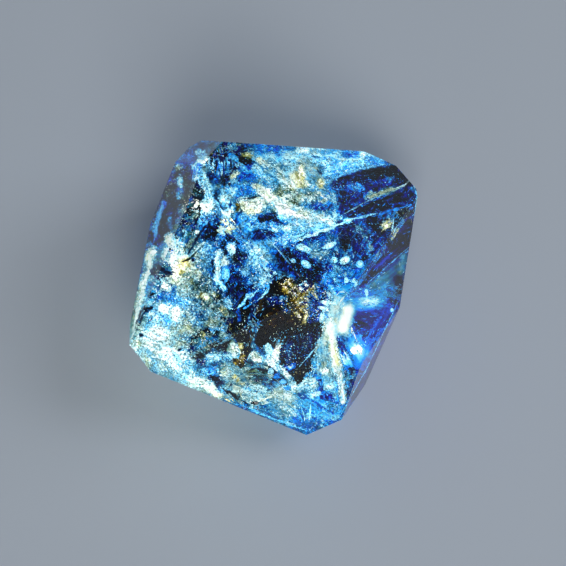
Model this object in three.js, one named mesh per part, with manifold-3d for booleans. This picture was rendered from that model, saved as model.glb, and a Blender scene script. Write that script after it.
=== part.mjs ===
// A petroleum quartz crystal, doubly terminated and flattened, lying on its broadest prism face.
// Bitumen is sealed inside: a lump with a tongue, and a thin vein beside it. So are two sheets
// of oil in cracks that healed, one under each broad upper pyramid face. The clear quartz is one
// crystal, parted here on a level plane through every pocket so that each pocket opens.
// Millimetres. +X runs along the crystal's c axis, +Z is up, and the origin is on the resting
// face, under the middle of the crystal's box.
import * as THREE from 'three';
import { ConvexGeometry } from 'three/addons/geometries/ConvexGeometry.js';
import { mergeVertices } from 'three/addons/utils/BufferGeometryUtils.js';
import Module from 'manifold-3d';

// Angle from the c axis to the normal of each quartz form, in degrees.
const PRISM_ANGLE = 90;
const PYRAMID_ANGLE = 51.79;
const TRIGONAL_ANGLE = 65.56;

// Each face of the crystal: its bearing round the c axis in degrees (0 is +Y, 90 is up), and its
// distance from the growth centre in millimetres. The crystal grew unevenly, so these differ.
const PRISM_FACES = [[90, 8.0], [30, 9.1], [150, 8.6], [-30, 8.6], [-90, 5.2], [-150, 8.7]];
const RIGHT_PYRAMID = [[90, 6.0], [30, 8.2], [150, 7.0], [-30, 8.3], [-90, 7.7], [-150, 7.6]];
const LEFT_PYRAMID = [[90, 7.0], [30, 7.5], [150, 6.8], [-30, 6.9], [-90, 4.7]];
const RIGHT_TRIGONAL = [[0, 8.9], [180, 7.6]];
const LEFT_TRIGONAL = [[0, 8.1], [60, 9.1], [180, 9.1]];

// Height of the level parting plane above the growth centre.
const PARTING_HEIGHT = 2.8;
// Slack between a sealed body and the wall of its pocket.
const POCKET_CLEARANCE = 0.3;

// The sealed bodies: centre from the growth centre, the way each is longest, the way it is
// widest, its half sizes along those two ways and through its thickness, and how finely the ball
// that it is made from is divided. First the bitumen.
const ACROSS = [0.788, -0.616, 0];
const BITUMEN_DETAIL = 5;
const LUMP = {
  centre: [-1.25, -3.7, 4.3],
  along: [-1.1, -2.4, -5.3],
  across: ACROSS,
  half: [2.3, 1.85, 0.85],
  detail: BITUMEN_DETAIL,
};
const TONGUE = {
  centre: [-1.95, -4.75, 1.9],
  along: [-0.6, -1.2, -3.0],
  across: ACROSS,
  half: [1.8, 0.95, 0.65],
  detail: BITUMEN_DETAIL,
};
const VEIN = {
  centre: [-3.6, -2.2, 3.5],
  along: [-1.2, -1.2, -2.8],
  across: ACROSS,
  half: [2.3, 0.45, 0.4],
  detail: BITUMEN_DETAIL,
};

// The healed cracks: thin sheets of oil, each parallel to the broad pyramid face over it.
const CRACK_DETAIL = 3;
const LEFT_CRACK = {
  centre: [-3.1, 2.0, 2.4],
  along: [-0.441, 0.828, -0.347],
  across: [-0.651, -0.561, -0.512],
  half: [3.5, 3.3, 0.3],
  detail: CRACK_DETAIL,
};
const RIGHT_CRACK = {
  centre: [3.6, 1.4, 3.0],
  along: [0.776, -0.164, -0.61],
  across: [0.129, 0.987, -0.101],
  half: [3.5, 3.1, 0.3],
  detail: CRACK_DETAIL,
};

// How rugged a body is, as a share of its radius, and the waves that make it so, each with its
// pace along the ball's x, y and z.
const RUGGEDNESS = 0.1;
const RUGGED_WAVES = [[4.1, 2.3, 0], [0, 5.3, -3.7], [2.9, 0, 6.1]];

// A conchoidal chip in the lower left pyramid face, struck from the edge below it.
const CHIP_CENTRE = [-5.07, -5.17, 0.38];
const CHIP_FACE_BEARING = 150;
const CHIP_RADIUS = 1.75;
const CHIP_DEPTH = 0.36;
const CHIP_LEAN = 1.1;
const CHIP_RIPPLE_DEPTH = 0.04;
const CHIP_RIPPLES = 3;
const CHIP_RINGS = 10;
const CHIP_SECTORS = 30;

// A width that reaches well past the crystal on every side.
const BEYOND_CRYSTAL = 60;
// Planes whose normals span less than this don't meet in one point.
const LEVEL_TOLERANCE = 1e-7;
// Points closer than this are one point.
const WELD_DISTANCE = 1e-5;

const wasm = await Module();
wasm.setup();

// A plane facing away from the growth centre: the points p with normal . p = distance.
function facePlane(angle, end, [bearing, distance]) {
  const tilt = THREE.MathUtils.degToRad(angle);
  const turn = THREE.MathUtils.degToRad(bearing);
  const normal = new THREE.Vector3(
    end * Math.cos(tilt),
    Math.sin(tilt) * Math.cos(turn),
    Math.sin(tilt) * Math.sin(turn),
  );
  return { normal, distance };
}

// The planes of one form at one end of the crystal: +1 is the +X end and -1 the -X end.
function form(angle, end, faces) {
  return faces.map((face) => facePlane(angle, end, face));
}

// The point that three planes share, or null where they don't meet in one point.
function meetingPoint(a, b, c) {
  const bc = new THREE.Vector3().crossVectors(b.normal, c.normal);
  const volume = a.normal.dot(bc);
  if (Math.abs(volume) < LEVEL_TOLERANCE) {
    return null;
  }
  const ca = new THREE.Vector3().crossVectors(c.normal, a.normal);
  const ab = new THREE.Vector3().crossVectors(a.normal, b.normal);
  return bc.multiplyScalar(a.distance / volume)
    .addScaledVector(ca, b.distance / volume)
    .addScaledVector(ab, c.distance / volume);
}

// The corners of the crystal: where three faces meet and no other face cuts the point off.
function corners(planes) {
  const points = [];
  for (let i = 0; i < planes.length; i += 1) {
    for (let j = i + 1; j < planes.length; j += 1) {
      for (let k = j + 1; k < planes.length; k += 1) {
        const point = meetingPoint(planes[i], planes[j], planes[k]);
        if (point && isInside(point, planes) && !isKnown(point, points)) {
          points.push(point);
        }
      }
    }
  }
  return points;
}

function isInside(point, planes) {
  return planes.every((plane) => plane.normal.dot(point) < plane.distance + WELD_DISTANCE);
}

function isKnown(point, points) {
  return points.some((other) => other.distanceTo(point) < WELD_DISTANCE);
}

// A closed geometry as a solid that can be joined and cut.
function toSolid(geometry) {
  const bare = geometry.clone();
  bare.deleteAttribute('normal');
  bare.deleteAttribute('uv');
  const merged = mergeVertices(bare, WELD_DISTANCE);
  return new wasm.Manifold(new wasm.Mesh({
    numProp: 3,
    vertProperties: new Float32Array(merged.attributes.position.array),
    triVerts: new Uint32Array(merged.index.array),
  }));
}

// A solid as a geometry that a mesh can show.
function toGeometry(solid) {
  const { vertProperties, triVerts } = solid.getMesh();
  const geometry = new THREE.BufferGeometry();
  geometry.setAttribute('position', new THREE.BufferAttribute(vertProperties, 3));
  geometry.setIndex(new THREE.BufferAttribute(triVerts, 1));
  geometry.computeVertexNormals();
  return geometry;
}

// How far a rugged ball stands out in one direction: one, plus the mean of the slow waves.
function relief(direction) {
  const heights = RUGGED_WAVES.map((pace) => Math.sin(direction.dot(new THREE.Vector3(...pace))));
  const total = heights.reduce((sum, height) => sum + height, 0);
  return 1 + (RUGGEDNESS * total) / heights.length;
}

// A sealed body, or its pocket where slack is given: a rugged ball, stretched to the body's half
// sizes and turned to lie along it.
function rugged(body, slack) {
  const ball = new THREE.IcosahedronGeometry(1, body.detail);
  const along = new THREE.Vector3(...body.along).normalize();
  const across = new THREE.Vector3(...body.across);
  across.addScaledVector(along, -across.dot(along)).normalize();
  const through = new THREE.Vector3().crossVectors(along, across);
  const turn = new THREE.Matrix4().makeBasis(along, across, through);
  const [length, width, thickness] = body.half;
  const stretch = new THREE.Matrix4().makeScale(length + slack, width + slack, thickness + slack);
  const position = ball.attributes.position;
  const direction = new THREE.Vector3();
  for (let i = 0; i < position.count; i += 1) {
    direction.fromBufferAttribute(position, i);
    direction.multiplyScalar(relief(direction));
    position.setXYZ(i, direction.x, direction.y, direction.z);
  }
  ball.applyMatrix4(turn.multiply(stretch));
  ball.translate(...body.centre);
  return toSolid(ball);
}

// The profile of the chip, from its middle out to its rim: a round dish that ripples as it rises.
function chipProfile() {
  const points = [];
  for (let ring = 0; ring <= CHIP_RINGS; ring += 1) {
    const share = ring / CHIP_RINGS;
    const dish = -CHIP_DEPTH * (1 - share * share);
    const ripple = CHIP_RIPPLE_DEPTH * Math.sin(2 * Math.PI * CHIP_RIPPLES * share) * share;
    points.push(new THREE.Vector2(share * CHIP_RADIUS, dish + ripple));
  }
  points.push(new THREE.Vector2(CHIP_RADIUS, CHIP_DEPTH));
  points.push(new THREE.Vector2(0, CHIP_DEPTH));
  return points;
}

// Each ring of the dish slides downhill, the inner ones most, so that the ripples spread from a
// point near the edge where the blow fell.
function leanRings(dish, downhill) {
  const position = dish.attributes.position;
  const point = new THREE.Vector3();
  for (let i = 0; i < position.count; i += 1) {
    point.fromBufferAttribute(position, i);
    const share = Math.hypot(point.x, point.z) / CHIP_RADIUS;
    point.addScaledVector(downhill, (1 - share) * CHIP_LEAN);
    position.setXYZ(i, point.x, point.y, point.z);
  }
}

// What broke away at the chip: the lathed dish, stood on its face's normal and clear above it.
function chip() {
  const dish = new THREE.LatheGeometry(chipProfile(), CHIP_SECTORS);
  const { normal } = facePlane(PYRAMID_ANGLE, -1, [CHIP_FACE_BEARING, 0]);
  const up = new THREE.Vector3(0, 1, 0);
  const stand = new THREE.Quaternion().setFromUnitVectors(up, normal);
  const downhill = new THREE.Vector3(0, 0, -1).projectOnPlane(normal).normalize();
  leanRings(dish, downhill.applyQuaternion(stand.clone().invert()));
  dish.applyQuaternion(stand);
  dish.translate(...CHIP_CENTRE);
  return toSolid(dish);
}

// A box far wider than the crystal, over or under the parting plane.
function sideOfParting(isUpper) {
  const block = new THREE.BoxGeometry(BEYOND_CRYSTAL, BEYOND_CRYSTAL, BEYOND_CRYSTAL);
  const lift = isUpper ? BEYOND_CRYSTAL / 2 : -BEYOND_CRYSTAL / 2;
  block.translate(0, 0, PARTING_HEIGHT + lift);
  return toSolid(block);
}

const planes = [
  ...form(PRISM_ANGLE, 1, PRISM_FACES),
  ...form(PYRAMID_ANGLE, 1, RIGHT_PYRAMID),
  ...form(PYRAMID_ANGLE, -1, LEFT_PYRAMID),
  ...form(TRIGONAL_ANGLE, 1, RIGHT_TRIGONAL),
  ...form(TRIGONAL_ANGLE, -1, LEFT_TRIGONAL),
];
const crystalCorners = corners(planes);

// The growth centre, seen from the origin under the middle of the crystal's box.
const box = new THREE.Box3().setFromPoints(crystalCorners);
const middle = box.getCenter(new THREE.Vector3());
const growthCentre = new THREE.Vector3(-middle.x, -middle.y, -box.min.z);

const sealed = [LUMP, TONGUE, VEIN, LEFT_CRACK, RIGHT_CRACK];
const bitumenMass = rugged(LUMP, 0).add(rugged(TONGUE, 0));
const quartz = sealed.reduce(
  (crystal, body) => crystal.subtract(rugged(body, POCKET_CLEARANCE)),
  toSolid(new ConvexGeometry(crystalCorners)).subtract(chip()),
);

const quartzMaterial = {
  color: 0x7fb6e8, roughness: 0.06, metalness: 0, transparent: true, opacity: 0.45,
};
const bitumenMaterial = { color: 0x1a120b, roughness: 0.45, metalness: 0 };
const crackMaterial = { color: 0x8fd0f5, roughness: 0.5, metalness: 0 };

// One named mesh at the growth centre, with a material of its own.
function node(name, solid, material) {
  const mesh = new THREE.Mesh(toGeometry(solid), new THREE.MeshStandardMaterial(material));
  mesh.name = name;
  mesh.position.copy(growthCentre);
  return mesh;
}

const crystal = new THREE.Group();
crystal.add(node('crystal_upper_half', quartz.intersect(sideOfParting(true)), quartzMaterial));
crystal.add(node('crystal_lower_half', quartz.intersect(sideOfParting(false)), quartzMaterial));
crystal.add(node('bitumen_mass', bitumenMass, bitumenMaterial));
crystal.add(node('bitumen_vein', rugged(VEIN, 0), bitumenMaterial));
crystal.add(node('healed_crack_left', rugged(LEFT_CRACK, 0), crackMaterial));
crystal.add(node('healed_crack_right', rugged(RIGHT_CRACK, 0), crackMaterial));

export default crystal;
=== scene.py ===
import itertools
import math

import bmesh
import bpy
import numpy as np
from mathutils import Matrix


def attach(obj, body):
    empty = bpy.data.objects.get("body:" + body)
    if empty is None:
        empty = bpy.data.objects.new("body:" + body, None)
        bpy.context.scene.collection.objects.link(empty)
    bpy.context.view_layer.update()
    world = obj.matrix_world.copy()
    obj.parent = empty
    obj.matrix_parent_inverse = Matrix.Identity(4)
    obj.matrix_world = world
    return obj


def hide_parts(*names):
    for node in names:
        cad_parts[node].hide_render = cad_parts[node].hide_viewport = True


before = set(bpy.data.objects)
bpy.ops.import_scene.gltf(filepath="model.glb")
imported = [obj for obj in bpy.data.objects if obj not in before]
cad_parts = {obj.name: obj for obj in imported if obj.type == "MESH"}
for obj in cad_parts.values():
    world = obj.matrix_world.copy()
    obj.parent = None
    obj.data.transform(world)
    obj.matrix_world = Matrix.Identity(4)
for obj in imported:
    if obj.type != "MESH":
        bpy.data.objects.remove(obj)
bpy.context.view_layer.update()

# The quartz crystal: one clear crystal of the quartz forms, a prism with a pyramid at each end and
# small trigonal faces, grown unevenly. Each face has a bearing round the c axis in degrees and a
# distance from the growth centre in millimetres, the same as in the solids.
PRISM_FACES = [(90, 8.0), (30, 9.1), (150, 8.6), (-30, 8.6), (-90, 5.2), (-150, 8.7)]
RIGHT_PYRAMID = [(90, 6.0), (30, 8.2), (150, 7.0), (-30, 8.3), (-90, 7.7), (-150, 7.6)]
LEFT_PYRAMID = [(90, 7.0), (30, 7.5), (150, 6.8), (-30, 6.9), (-90, 4.7)]
RIGHT_TRIGONAL = [(0, 8.9), (180, 7.6)]
LEFT_TRIGONAL = [(0, 8.1), (60, 9.1), (180, 9.1)]
PRISM_ANGLE, PYRAMID_ANGLE, TRIGONAL_ANGLE = 90, 51.79, 65.56
FORMS = [
    (PRISM_ANGLE, 1, PRISM_FACES),
    (PYRAMID_ANGLE, 1, RIGHT_PYRAMID),
    (PYRAMID_ANGLE, -1, LEFT_PYRAMID),
    (TRIGONAL_ANGLE, 1, RIGHT_TRIGONAL),
    (TRIGONAL_ANGLE, -1, LEFT_TRIGONAL),
]
MM = 0.001
QUARTZ_IOR = 1.544
WELD, PARALLEL = 1e-5, 1e-7
FLAT = math.radians(1)
CORNER_ROUNDING, ROUNDING_STEPS = 0.045 * MM, 2
# The chip is on the left pyramid face that bears 150 degrees.
CHIP_CENTRE, CHIP_BEARING = np.array([-5.07, -5.17, 0.38]), 150
CHIP_RADIUS, CHIP_DEPTH, CHIP_LEAN = 1.75, 0.36, 1.1
CHIP_RIPPLES, CHIP_RIPPLE_DEPTH = 3, 0.04
HILLOCK_SCALE, HILLOCK_DETAIL = 420, 3
HILLOCK_HEIGHT, HILLOCK_STRENGTH = 0.03 * MM, 0.1
ROUGHEST_POLISH = 0.05
QUARTZ_TINT, TINT_DENSITY = (0.05, 0.52, 0.81, 1), 420


def face_normal(angle, end, bearing):
    """Unit normal of a face: angle degrees from the c axis at that end, turned by the bearing."""
    tilt, turn = math.radians(angle), math.radians(bearing)
    return np.array([
        end * math.cos(tilt),
        math.sin(tilt) * math.cos(turn),
        math.sin(tilt) * math.sin(turn),
    ])


NORMALS = np.array([face_normal(a, end, b) for a, end, faces in FORMS for b, _ in faces])
DISTANCES = np.array([d for _, _, faces in FORMS for _, d in faces], float)


def crystal_corners():
    """Every point where three face planes meet, n.p = d for each, that lies under all the others."""
    trios = np.array(list(itertools.combinations(range(len(NORMALS)), 3)))
    a, b, c = NORMALS[trios[:, 0]], NORMALS[trios[:, 1]], NORMALS[trios[:, 2]]
    da, db, dc = (DISTANCES[trios[:, i], None] for i in range(3))
    volume = np.einsum("ij,ij->i", a, np.cross(b, c))
    sound = np.abs(volume) > PARALLEL
    joint = da * np.cross(b, c) + db * np.cross(c, a) + dc * np.cross(a, b)
    points = joint[sound] / volume[sound, None]
    points = points[(points @ NORMALS.T < DISTANCES + WELD).all(1)]
    return np.unique(points.round(5), axis=0)


CORNERS = crystal_corners()
LOW, HIGH = CORNERS.min(0), CORNERS.max(0)
GROWTH_CENTRE = np.array([-(LOW[0] + HIGH[0]) / 2, -(LOW[1] + HIGH[1]) / 2, -LOW[2]])


def to_row(points):
    """Millimetres from the growth centre to metres in the row frame."""
    return (np.asarray(points) + GROWTH_CENTRE) * MM


def link(name, mesh, material, body="root"):
    """A mesh as an object at the origin that rides on the crystal."""
    piece = bpy.data.objects.new(name, mesh)
    bpy.context.scene.collection.objects.link(piece)
    mesh.materials.clear()
    mesh.materials.append(material)
    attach(piece, body)
    return piece


def hull_mesh(points):
    """The convex hull of the corners, its flat triangles merged back to whole faces."""
    shape = bmesh.new()
    for point in to_row(points):
        shape.verts.new(point)
    bmesh.ops.convex_hull(shape, input=shape.verts)
    bmesh.ops.dissolve_limit(shape, angle_limit=FLAT, verts=shape.verts, edges=shape.edges)
    bmesh.ops.recalc_face_normals(shape, faces=shape.faces)
    mesh = bpy.data.meshes.new("quartz_crystal")
    shape.to_mesh(mesh)
    shape.free()
    return mesh


def chip_cutter(rings=40, sectors=96):
    """A lathed dish that ripples as it rises, its inner rings slid downhill towards the blow, and
    closed by a lid above the face: depth = -D(1 - s^2) + r s sin(2 pi n s), s from middle to rim."""
    normal = face_normal(PYRAMID_ANGLE, -1, CHIP_BEARING)
    downhill = np.array([0, 0, -1.0])
    downhill -= normal * (downhill @ normal)
    downhill /= np.linalg.norm(downhill)
    level = np.cross(normal, downhill)
    share = np.linspace(0, 1, rings + 1)[1:, None]
    turn = np.linspace(0, 2 * math.pi, sectors, endpoint=False)[None, :]
    ripple = CHIP_RIPPLE_DEPTH * np.sin(2 * math.pi * CHIP_RIPPLES * share) * share
    height = (-CHIP_DEPTH * (1 - share ** 2) + ripple) + 0 * turn
    rise = share * CHIP_RADIUS
    points = (
        CHIP_CENTRE
        + (rise * np.cos(turn))[..., None] * level
        + (rise * np.sin(turn) + (1 - share) * CHIP_LEAN)[..., None] * downhill
        + height[..., None] * normal
    ).reshape(-1, 3)
    middle = CHIP_CENTRE + CHIP_LEAN * downhill - CHIP_DEPTH * normal
    rim_lid = points[-sectors:] + CHIP_DEPTH * normal
    points = np.vstack([points, middle, rim_lid])
    ring = np.arange(sectors)
    after = (ring + 1) % sectors
    faces = [[i, j, len(points) - sectors - 1] for i, j in zip(after, ring)]
    for row in range(rings - 1):
        lower, upper = row * sectors, (row + 1) * sectors
        faces += np.stack([lower + ring, lower + after, upper + after, upper + ring], 1).tolist()
    top = (rings - 1) * sectors
    lid = rings * sectors + 1
    faces += np.stack([top + ring, top + after, lid + after, lid + ring], 1).tolist()
    faces.append((lid + ring).tolist())
    mesh = bpy.data.meshes.new("chip_cutter")
    mesh.from_pydata(to_row(points).tolist(), [], faces)
    shape = bmesh.new()
    shape.from_mesh(mesh)
    bmesh.ops.recalc_face_normals(shape, faces=shape.faces)
    shape.to_mesh(mesh)
    shape.free()
    return mesh


def new_material(name):
    """A material, its nodes, its links and its Principled BSDF."""
    material = bpy.data.materials.new(name)
    material.use_nodes = True
    nodes = material.node_tree.nodes
    return material, nodes, material.node_tree.links, nodes["Principled BSDF"]


def add_node(nodes, kind, values):
    """A new shader node of that kind, with its inputs set by name."""
    node = nodes.new("ShaderNode" + kind)
    for name, value in values.items():
        node.inputs[name].default_value = value
    return node


def quartz_material():
    """Clear blue quartz: plain transmission and IOR, blue by volume absorption, with faint growth
    hillocks that dull its polish a little and stand up as a bump."""
    material, nodes, links, surface = new_material("clear_quartz")
    surface.inputs["IOR"].default_value = QUARTZ_IOR
    surface.inputs["Transmission Weight"].default_value = 1.0
    surface.inputs["Base Color"].default_value = (1, 1, 1, 1)
    place = nodes.new("ShaderNodeTexCoord")
    hillocks = add_node(nodes, "TexNoise", {"Scale": HILLOCK_SCALE, "Detail": HILLOCK_DETAIL})
    links.new(place.outputs["Object"], hillocks.inputs["Vector"])
    polish = add_node(nodes, "MapRange", {"To Min": 0.0, "To Max": ROUGHEST_POLISH})
    links.new(hillocks.outputs["Fac"], polish.inputs["Value"])
    links.new(polish.outputs["Result"], surface.inputs["Roughness"])
    bump = add_node(nodes, "Bump", {"Strength": HILLOCK_STRENGTH, "Distance": HILLOCK_HEIGHT})
    links.new(hillocks.outputs["Fac"], bump.inputs["Height"])
    links.new(bump.outputs["Normal"], surface.inputs["Normal"])
    tint = add_node(nodes, "VolumeAbsorption", {"Color": QUARTZ_TINT, "Density": TINT_DENSITY})
    links.new(tint.outputs["Volume"], nodes["Material Output"].inputs["Volume"])
    return material


clear_quartz = quartz_material()
quartz = link("quartz_crystal", hull_mesh(CORNERS), clear_quartz)
rounding = quartz.modifiers.new("rounding", "BEVEL")
rounding.width = CORNER_ROUNDING
rounding.segments = ROUNDING_STEPS
rounding.limit_method = "NONE"
cutter = bpy.data.objects.new("chip_cutter", chip_cutter())
bpy.context.scene.collection.objects.link(cutter)
cut = quartz.modifiers.new("chip", "BOOLEAN")
cut.object = cutter
cut.solver = "EXACT"
finished = bpy.data.meshes.new_from_object(
    quartz.evaluated_get(bpy.context.evaluated_depsgraph_get()))
quartz.modifiers.clear()
quartz.data = finished
quartz.data.materials.clear()
quartz.data.materials.append(clear_quartz)
bpy.data.objects.remove(cutter)
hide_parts("crystal_upper_half", "crystal_lower_half")

# The view: steeply down on the front left of the crystal through a long lens. What lies inside is
# placed by where it is seen, in points across and down a 566 point picture, and by its depth.
PICTURE = 566
PICTURE_CENTRE = np.array([271.2, 280.7])
POINTS_PER_MM = 16.5
VIEW_AZIMUTH, VIEW_ELEVATION, VIEW_DISTANCE = math.radians(-38.06), math.radians(70), 140.0
SENSOR, NEAREST, FURTHEST = 36.0, 0.001, 10
BACK = np.array([
    math.sin(VIEW_AZIMUTH) * math.cos(VIEW_ELEVATION),
    -math.cos(VIEW_AZIMUTH) * math.cos(VIEW_ELEVATION),
    math.sin(VIEW_ELEVATION),
])
RIGHT = np.array([math.cos(VIEW_AZIMUTH), math.sin(VIEW_AZIMUTH), 0])
UP = np.cross(BACK, RIGHT)
EYE = BACK * VIEW_DISTANCE
lens = bpy.data.cameras.new("camera")
lens.sensor_width = SENSOR
lens.lens = SENSOR * VIEW_DISTANCE * POINTS_PER_MM / PICTURE
lens.shift_x, lens.shift_y = (PICTURE / 2 - PICTURE_CENTRE) * (1, -1) / PICTURE
lens.clip_start, lens.clip_end = NEAREST, FURTHEST
camera = bpy.data.objects.new("camera", lens)
bpy.context.scene.collection.objects.link(camera)
aim = Matrix(np.array([RIGHT, UP, BACK]).T.tolist()).to_4x4()
camera.matrix_world = Matrix.Translation(to_row(EYE)) @ aim
bpy.context.scene.camera = camera

# The studio: a plain pale floor just under the resting face, a dim even surround, and two large
# soft lights above.
REACH, FLOOR_GAP = 0.6, 0.02 * MM
FLOOR_DULLNESS, FLOOR_MOTTLE = 0.7, 30
FLOOR_DARK, FLOOR_LIGHT = (0.50, 0.55, 0.62, 1), (0.53, 0.58, 0.65, 1)
SURROUND, SURROUND_STRENGTH = (0.8, 0.9, 1, 1), 0.15
LIGHT_BOUNCES = 24
floor_mesh = bpy.data.meshes.new("floor")
floor_mesh.from_pydata(
    [(-REACH, -REACH, 0), (REACH, -REACH, 0), (REACH, REACH, 0), (-REACH, REACH, 0)],
    [], [(0, 1, 2, 3)])
floor_paint, nodes, links, surface = new_material("floor")
surface.inputs["Roughness"].default_value = FLOOR_DULLNESS
mottle = add_node(nodes, "TexNoise", {"Scale": FLOOR_MOTTLE})
shade = nodes.new("ShaderNodeMix")
shade.data_type = "RGBA"
shade.inputs["A"].default_value = FLOOR_DARK
shade.inputs["B"].default_value = FLOOR_LIGHT
place = nodes.new("ShaderNodeTexCoord")
links.new(place.outputs["Object"], mottle.inputs["Vector"])
links.new(mottle.outputs["Fac"], shade.inputs["Factor"])
links.new(shade.outputs["Result"], surface.inputs["Base Color"])
floor = bpy.data.objects.new("floor", floor_mesh)
floor_mesh.materials.append(floor_paint)
floor.location.z = -FLOOR_GAP
bpy.context.scene.collection.objects.link(floor)

world = bpy.data.worlds.new("surround")
bpy.context.scene.world = world
world.use_nodes = True
backdrop = world.node_tree.nodes["Background"]
backdrop.inputs["Color"].default_value = SURROUND
backdrop.inputs["Strength"].default_value = SURROUND_STRENGTH


def soft_light(name, place, size, power, tint):
    """A square area light at place, in metres, facing the crystal."""
    lamp = bpy.data.lights.new(name, "AREA")
    lamp.size = size
    lamp.energy = power
    lamp.color = tint
    light = bpy.data.objects.new(name, lamp)
    back = np.array(place) / np.linalg.norm(place)
    side = np.cross([0, 0, 1], back)
    side /= np.linalg.norm(side)
    spin = Matrix(np.array([side, np.cross(back, side), back]).T.tolist()).to_4x4()
    light.matrix_world = Matrix.Translation(place) @ spin
    bpy.context.scene.collection.objects.link(light)


soft_light("key_light", (-0.25, -0.40, 0.45), size=0.35, power=1.9, tint=(1, 0.98, 0.95))
soft_light("fill_light", (0.38, -0.22, 0.4), size=0.3, power=1.0, tint=(0.9, 0.95, 1))
bpy.context.scene.view_settings.view_transform = "Standard"
bpy.context.scene.cycles.max_bounces = LIGHT_BOUNCES
bpy.context.scene.cycles.transmission_bounces = LIGHT_BOUNCES
bpy.context.scene.cycles.transparent_max_bounces = LIGHT_BOUNCES

# The healed cracks: old cracks in the quartz that grew shut again round a film of oil, its colour
# given as a painted glow, light that the film sends out itself. Each is a thin, gently bent sheet at
# a slant, worn to lace, from milky white to deep blue, with cream and olive places where the film is
# thick.
# The faces that the eye sees, by their places in NORMALS.
PRISM_TOP, PRISM_REAR, PRISM_FRONT = 0, 1, 2
RIGHT_TOP, RIGHT_FRONT, RIGHT_EDGE = 6, 8, 18
LEFT_TOP, LEFT_REAR, LEFT_FRONT = 12, 13, 14
NARROW_FACES = [PRISM_TOP, PRISM_REAR, PRISM_FRONT, RIGHT_EDGE]
BROAD_FACES = [RIGHT_TOP, RIGHT_FRONT, LEFT_TOP, LEFT_REAR, LEFT_FRONT]
SHORTEST_PATH_SHARE = 0.82
TINT_PER_MM = np.array([0.40, 0.20, 0.08])
CLEAREST_DEPTH = 2.5
# How strongly the painted glow of the films, grains and bitumen shines.
GLOW_STRENGTH = 2.0
LATTICE = 64
MOTTLING_SPREAD = 1.7
STREAK_STEPS, STREAK_PATCH, STREAK_SPREAD = np.arange(-9, 10, 1.5), 1.9, 1.2
DROP_PLACES, DROP_TONES, DROP_SIZES = (0.15, 0.85), (-0.8, 1.2), (0.35, 0.75)
WISP_CREST, WISP_FALL, WISP_FLOOR = 1.5, 5, -0.6


def sight(across, down, depth):
    """Where a thing lies that is seen at (across, down): the line from the eye meets the nearest
    face, bends there by Snell's law, and runs on for depth millimetres. Also gives that face."""
    across, down = np.broadcast_arrays(np.asarray(across, float), np.asarray(down, float))
    u = (across - PICTURE_CENTRE[0]) / POINTS_PER_MM
    v = (PICTURE_CENTRE[1] - down) / POINTS_PER_MM
    ray = u[..., None] * RIGHT + v[..., None] * UP - EYE
    ray /= np.linalg.norm(ray, axis=-1, keepdims=True)
    slope = ray @ NORMALS.T
    reach = (DISTANCES - NORMALS @ EYE) / slope
    entry = np.where(slope < 0, reach, -np.inf)
    face = entry.argmax(-1)
    normal = NORMALS[face]
    skin = EYE + entry.max(-1)[..., None] * ray
    cosine = -np.einsum("...i,...i->...", normal, ray)
    inner = np.sqrt(1 - (1 - cosine ** 2) / QUARTZ_IOR ** 2)
    bent = ray / QUARTZ_IOR + (cosine / QUARTZ_IOR - inner)[..., None] * normal
    missed = entry.max(-1) > np.where(slope > 0, reach, np.inf).min(-1)
    return skin + np.asarray(depth)[..., None] * bent, np.where(missed, -1, face)


def mottling(x, y, size, seed, octaves=4, fade=0.6):
    """Soft random patches from about -1 to 1: seeded values on a square lattice, blended between its
    points by t t (3 - 2 t), and summed over octaves, each half the size of the last and fade times
    as strong."""
    random = np.random.default_rng(seed)
    total, strength, whole = 0, 1.0, 0
    for _ in range(octaves):
        table = random.uniform(-1, 1, (LATTICE, LATTICE))
        column, row = np.floor(x / size), np.floor(y / size)
        s, t = x / size - column, y / size - row
        s, t = s * s * (3 - 2 * s), t * t * (3 - 2 * t)
        i, j = column.astype(int) % LATTICE, row.astype(int) % LATTICE
        i2, j2 = (i + 1) % LATTICE, (j + 1) % LATTICE
        near = table[i, j] * (1 - s) + table[i2, j] * s
        far = table[i, j2] * (1 - s) + table[i2, j2] * s
        total = total + strength * (near * (1 - t) + far * t)
        whole += strength ** 2
        size, strength = size / 2, strength * fade
    return MOTTLING_SPREAD * total / math.sqrt(whole)


def drops(x, y, size, seed):
    """Round drops with a darker rim, from about -1 to 1, one at a random place in each square of a
    lattice and each of its own brightness: b (1 - 3.6 d^2 + 2.6 d^4), d from middle to rim."""
    random = np.random.default_rng(seed)
    middles = random.uniform(*DROP_PLACES, (2, LATTICE, LATTICE))
    bright = random.uniform(*DROP_TONES, (LATTICE, LATTICE))
    reach = random.uniform(*DROP_SIZES, (LATTICE, LATTICE))
    column, row = np.floor(x / size).astype(int), np.floor(y / size).astype(int)
    total = np.zeros(x.shape)
    for i in (-1, 0, 1):
        for j in (-1, 0, 1):
            cell = ((column + i) % LATTICE, (row + j) % LATTICE)
            away = np.hypot(
                x / size - column - i - middles[0][cell], y / size - row - j - middles[1][cell])
            share = np.minimum(away / reach[cell], 1) ** 2
            total += bright[cell] * (1 - 3.6 * share + 2.6 * share ** 2)
    return total


def streaks(x, y, toward, seed):
    """Fine grain drawn out along a direction, which is given as the cosine and sine of its doubled
    angle: the sum of soft patches at points spaced along it to both sides."""
    angle = np.arctan2(toward[1], toward[0]) / 2
    total = 0
    for step in STREAK_STEPS:
        total = total + mottling(
            x + step * np.cos(angle), y + step * np.sin(angle), STREAK_PATCH, seed, 2, 0.8)
    return STREAK_SPREAD * total / math.sqrt(len(STREAK_STEPS))


def wisps(x, y, size, seed):
    """Fine curling threads, light along lines where soft patches cross zero and a little dark away
    from them."""
    patches = mottling(x, y, size, seed, 3, 0.6)
    return np.maximum(WISP_CREST - WISP_FALL * np.abs(patches), WISP_FLOOR)


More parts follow.
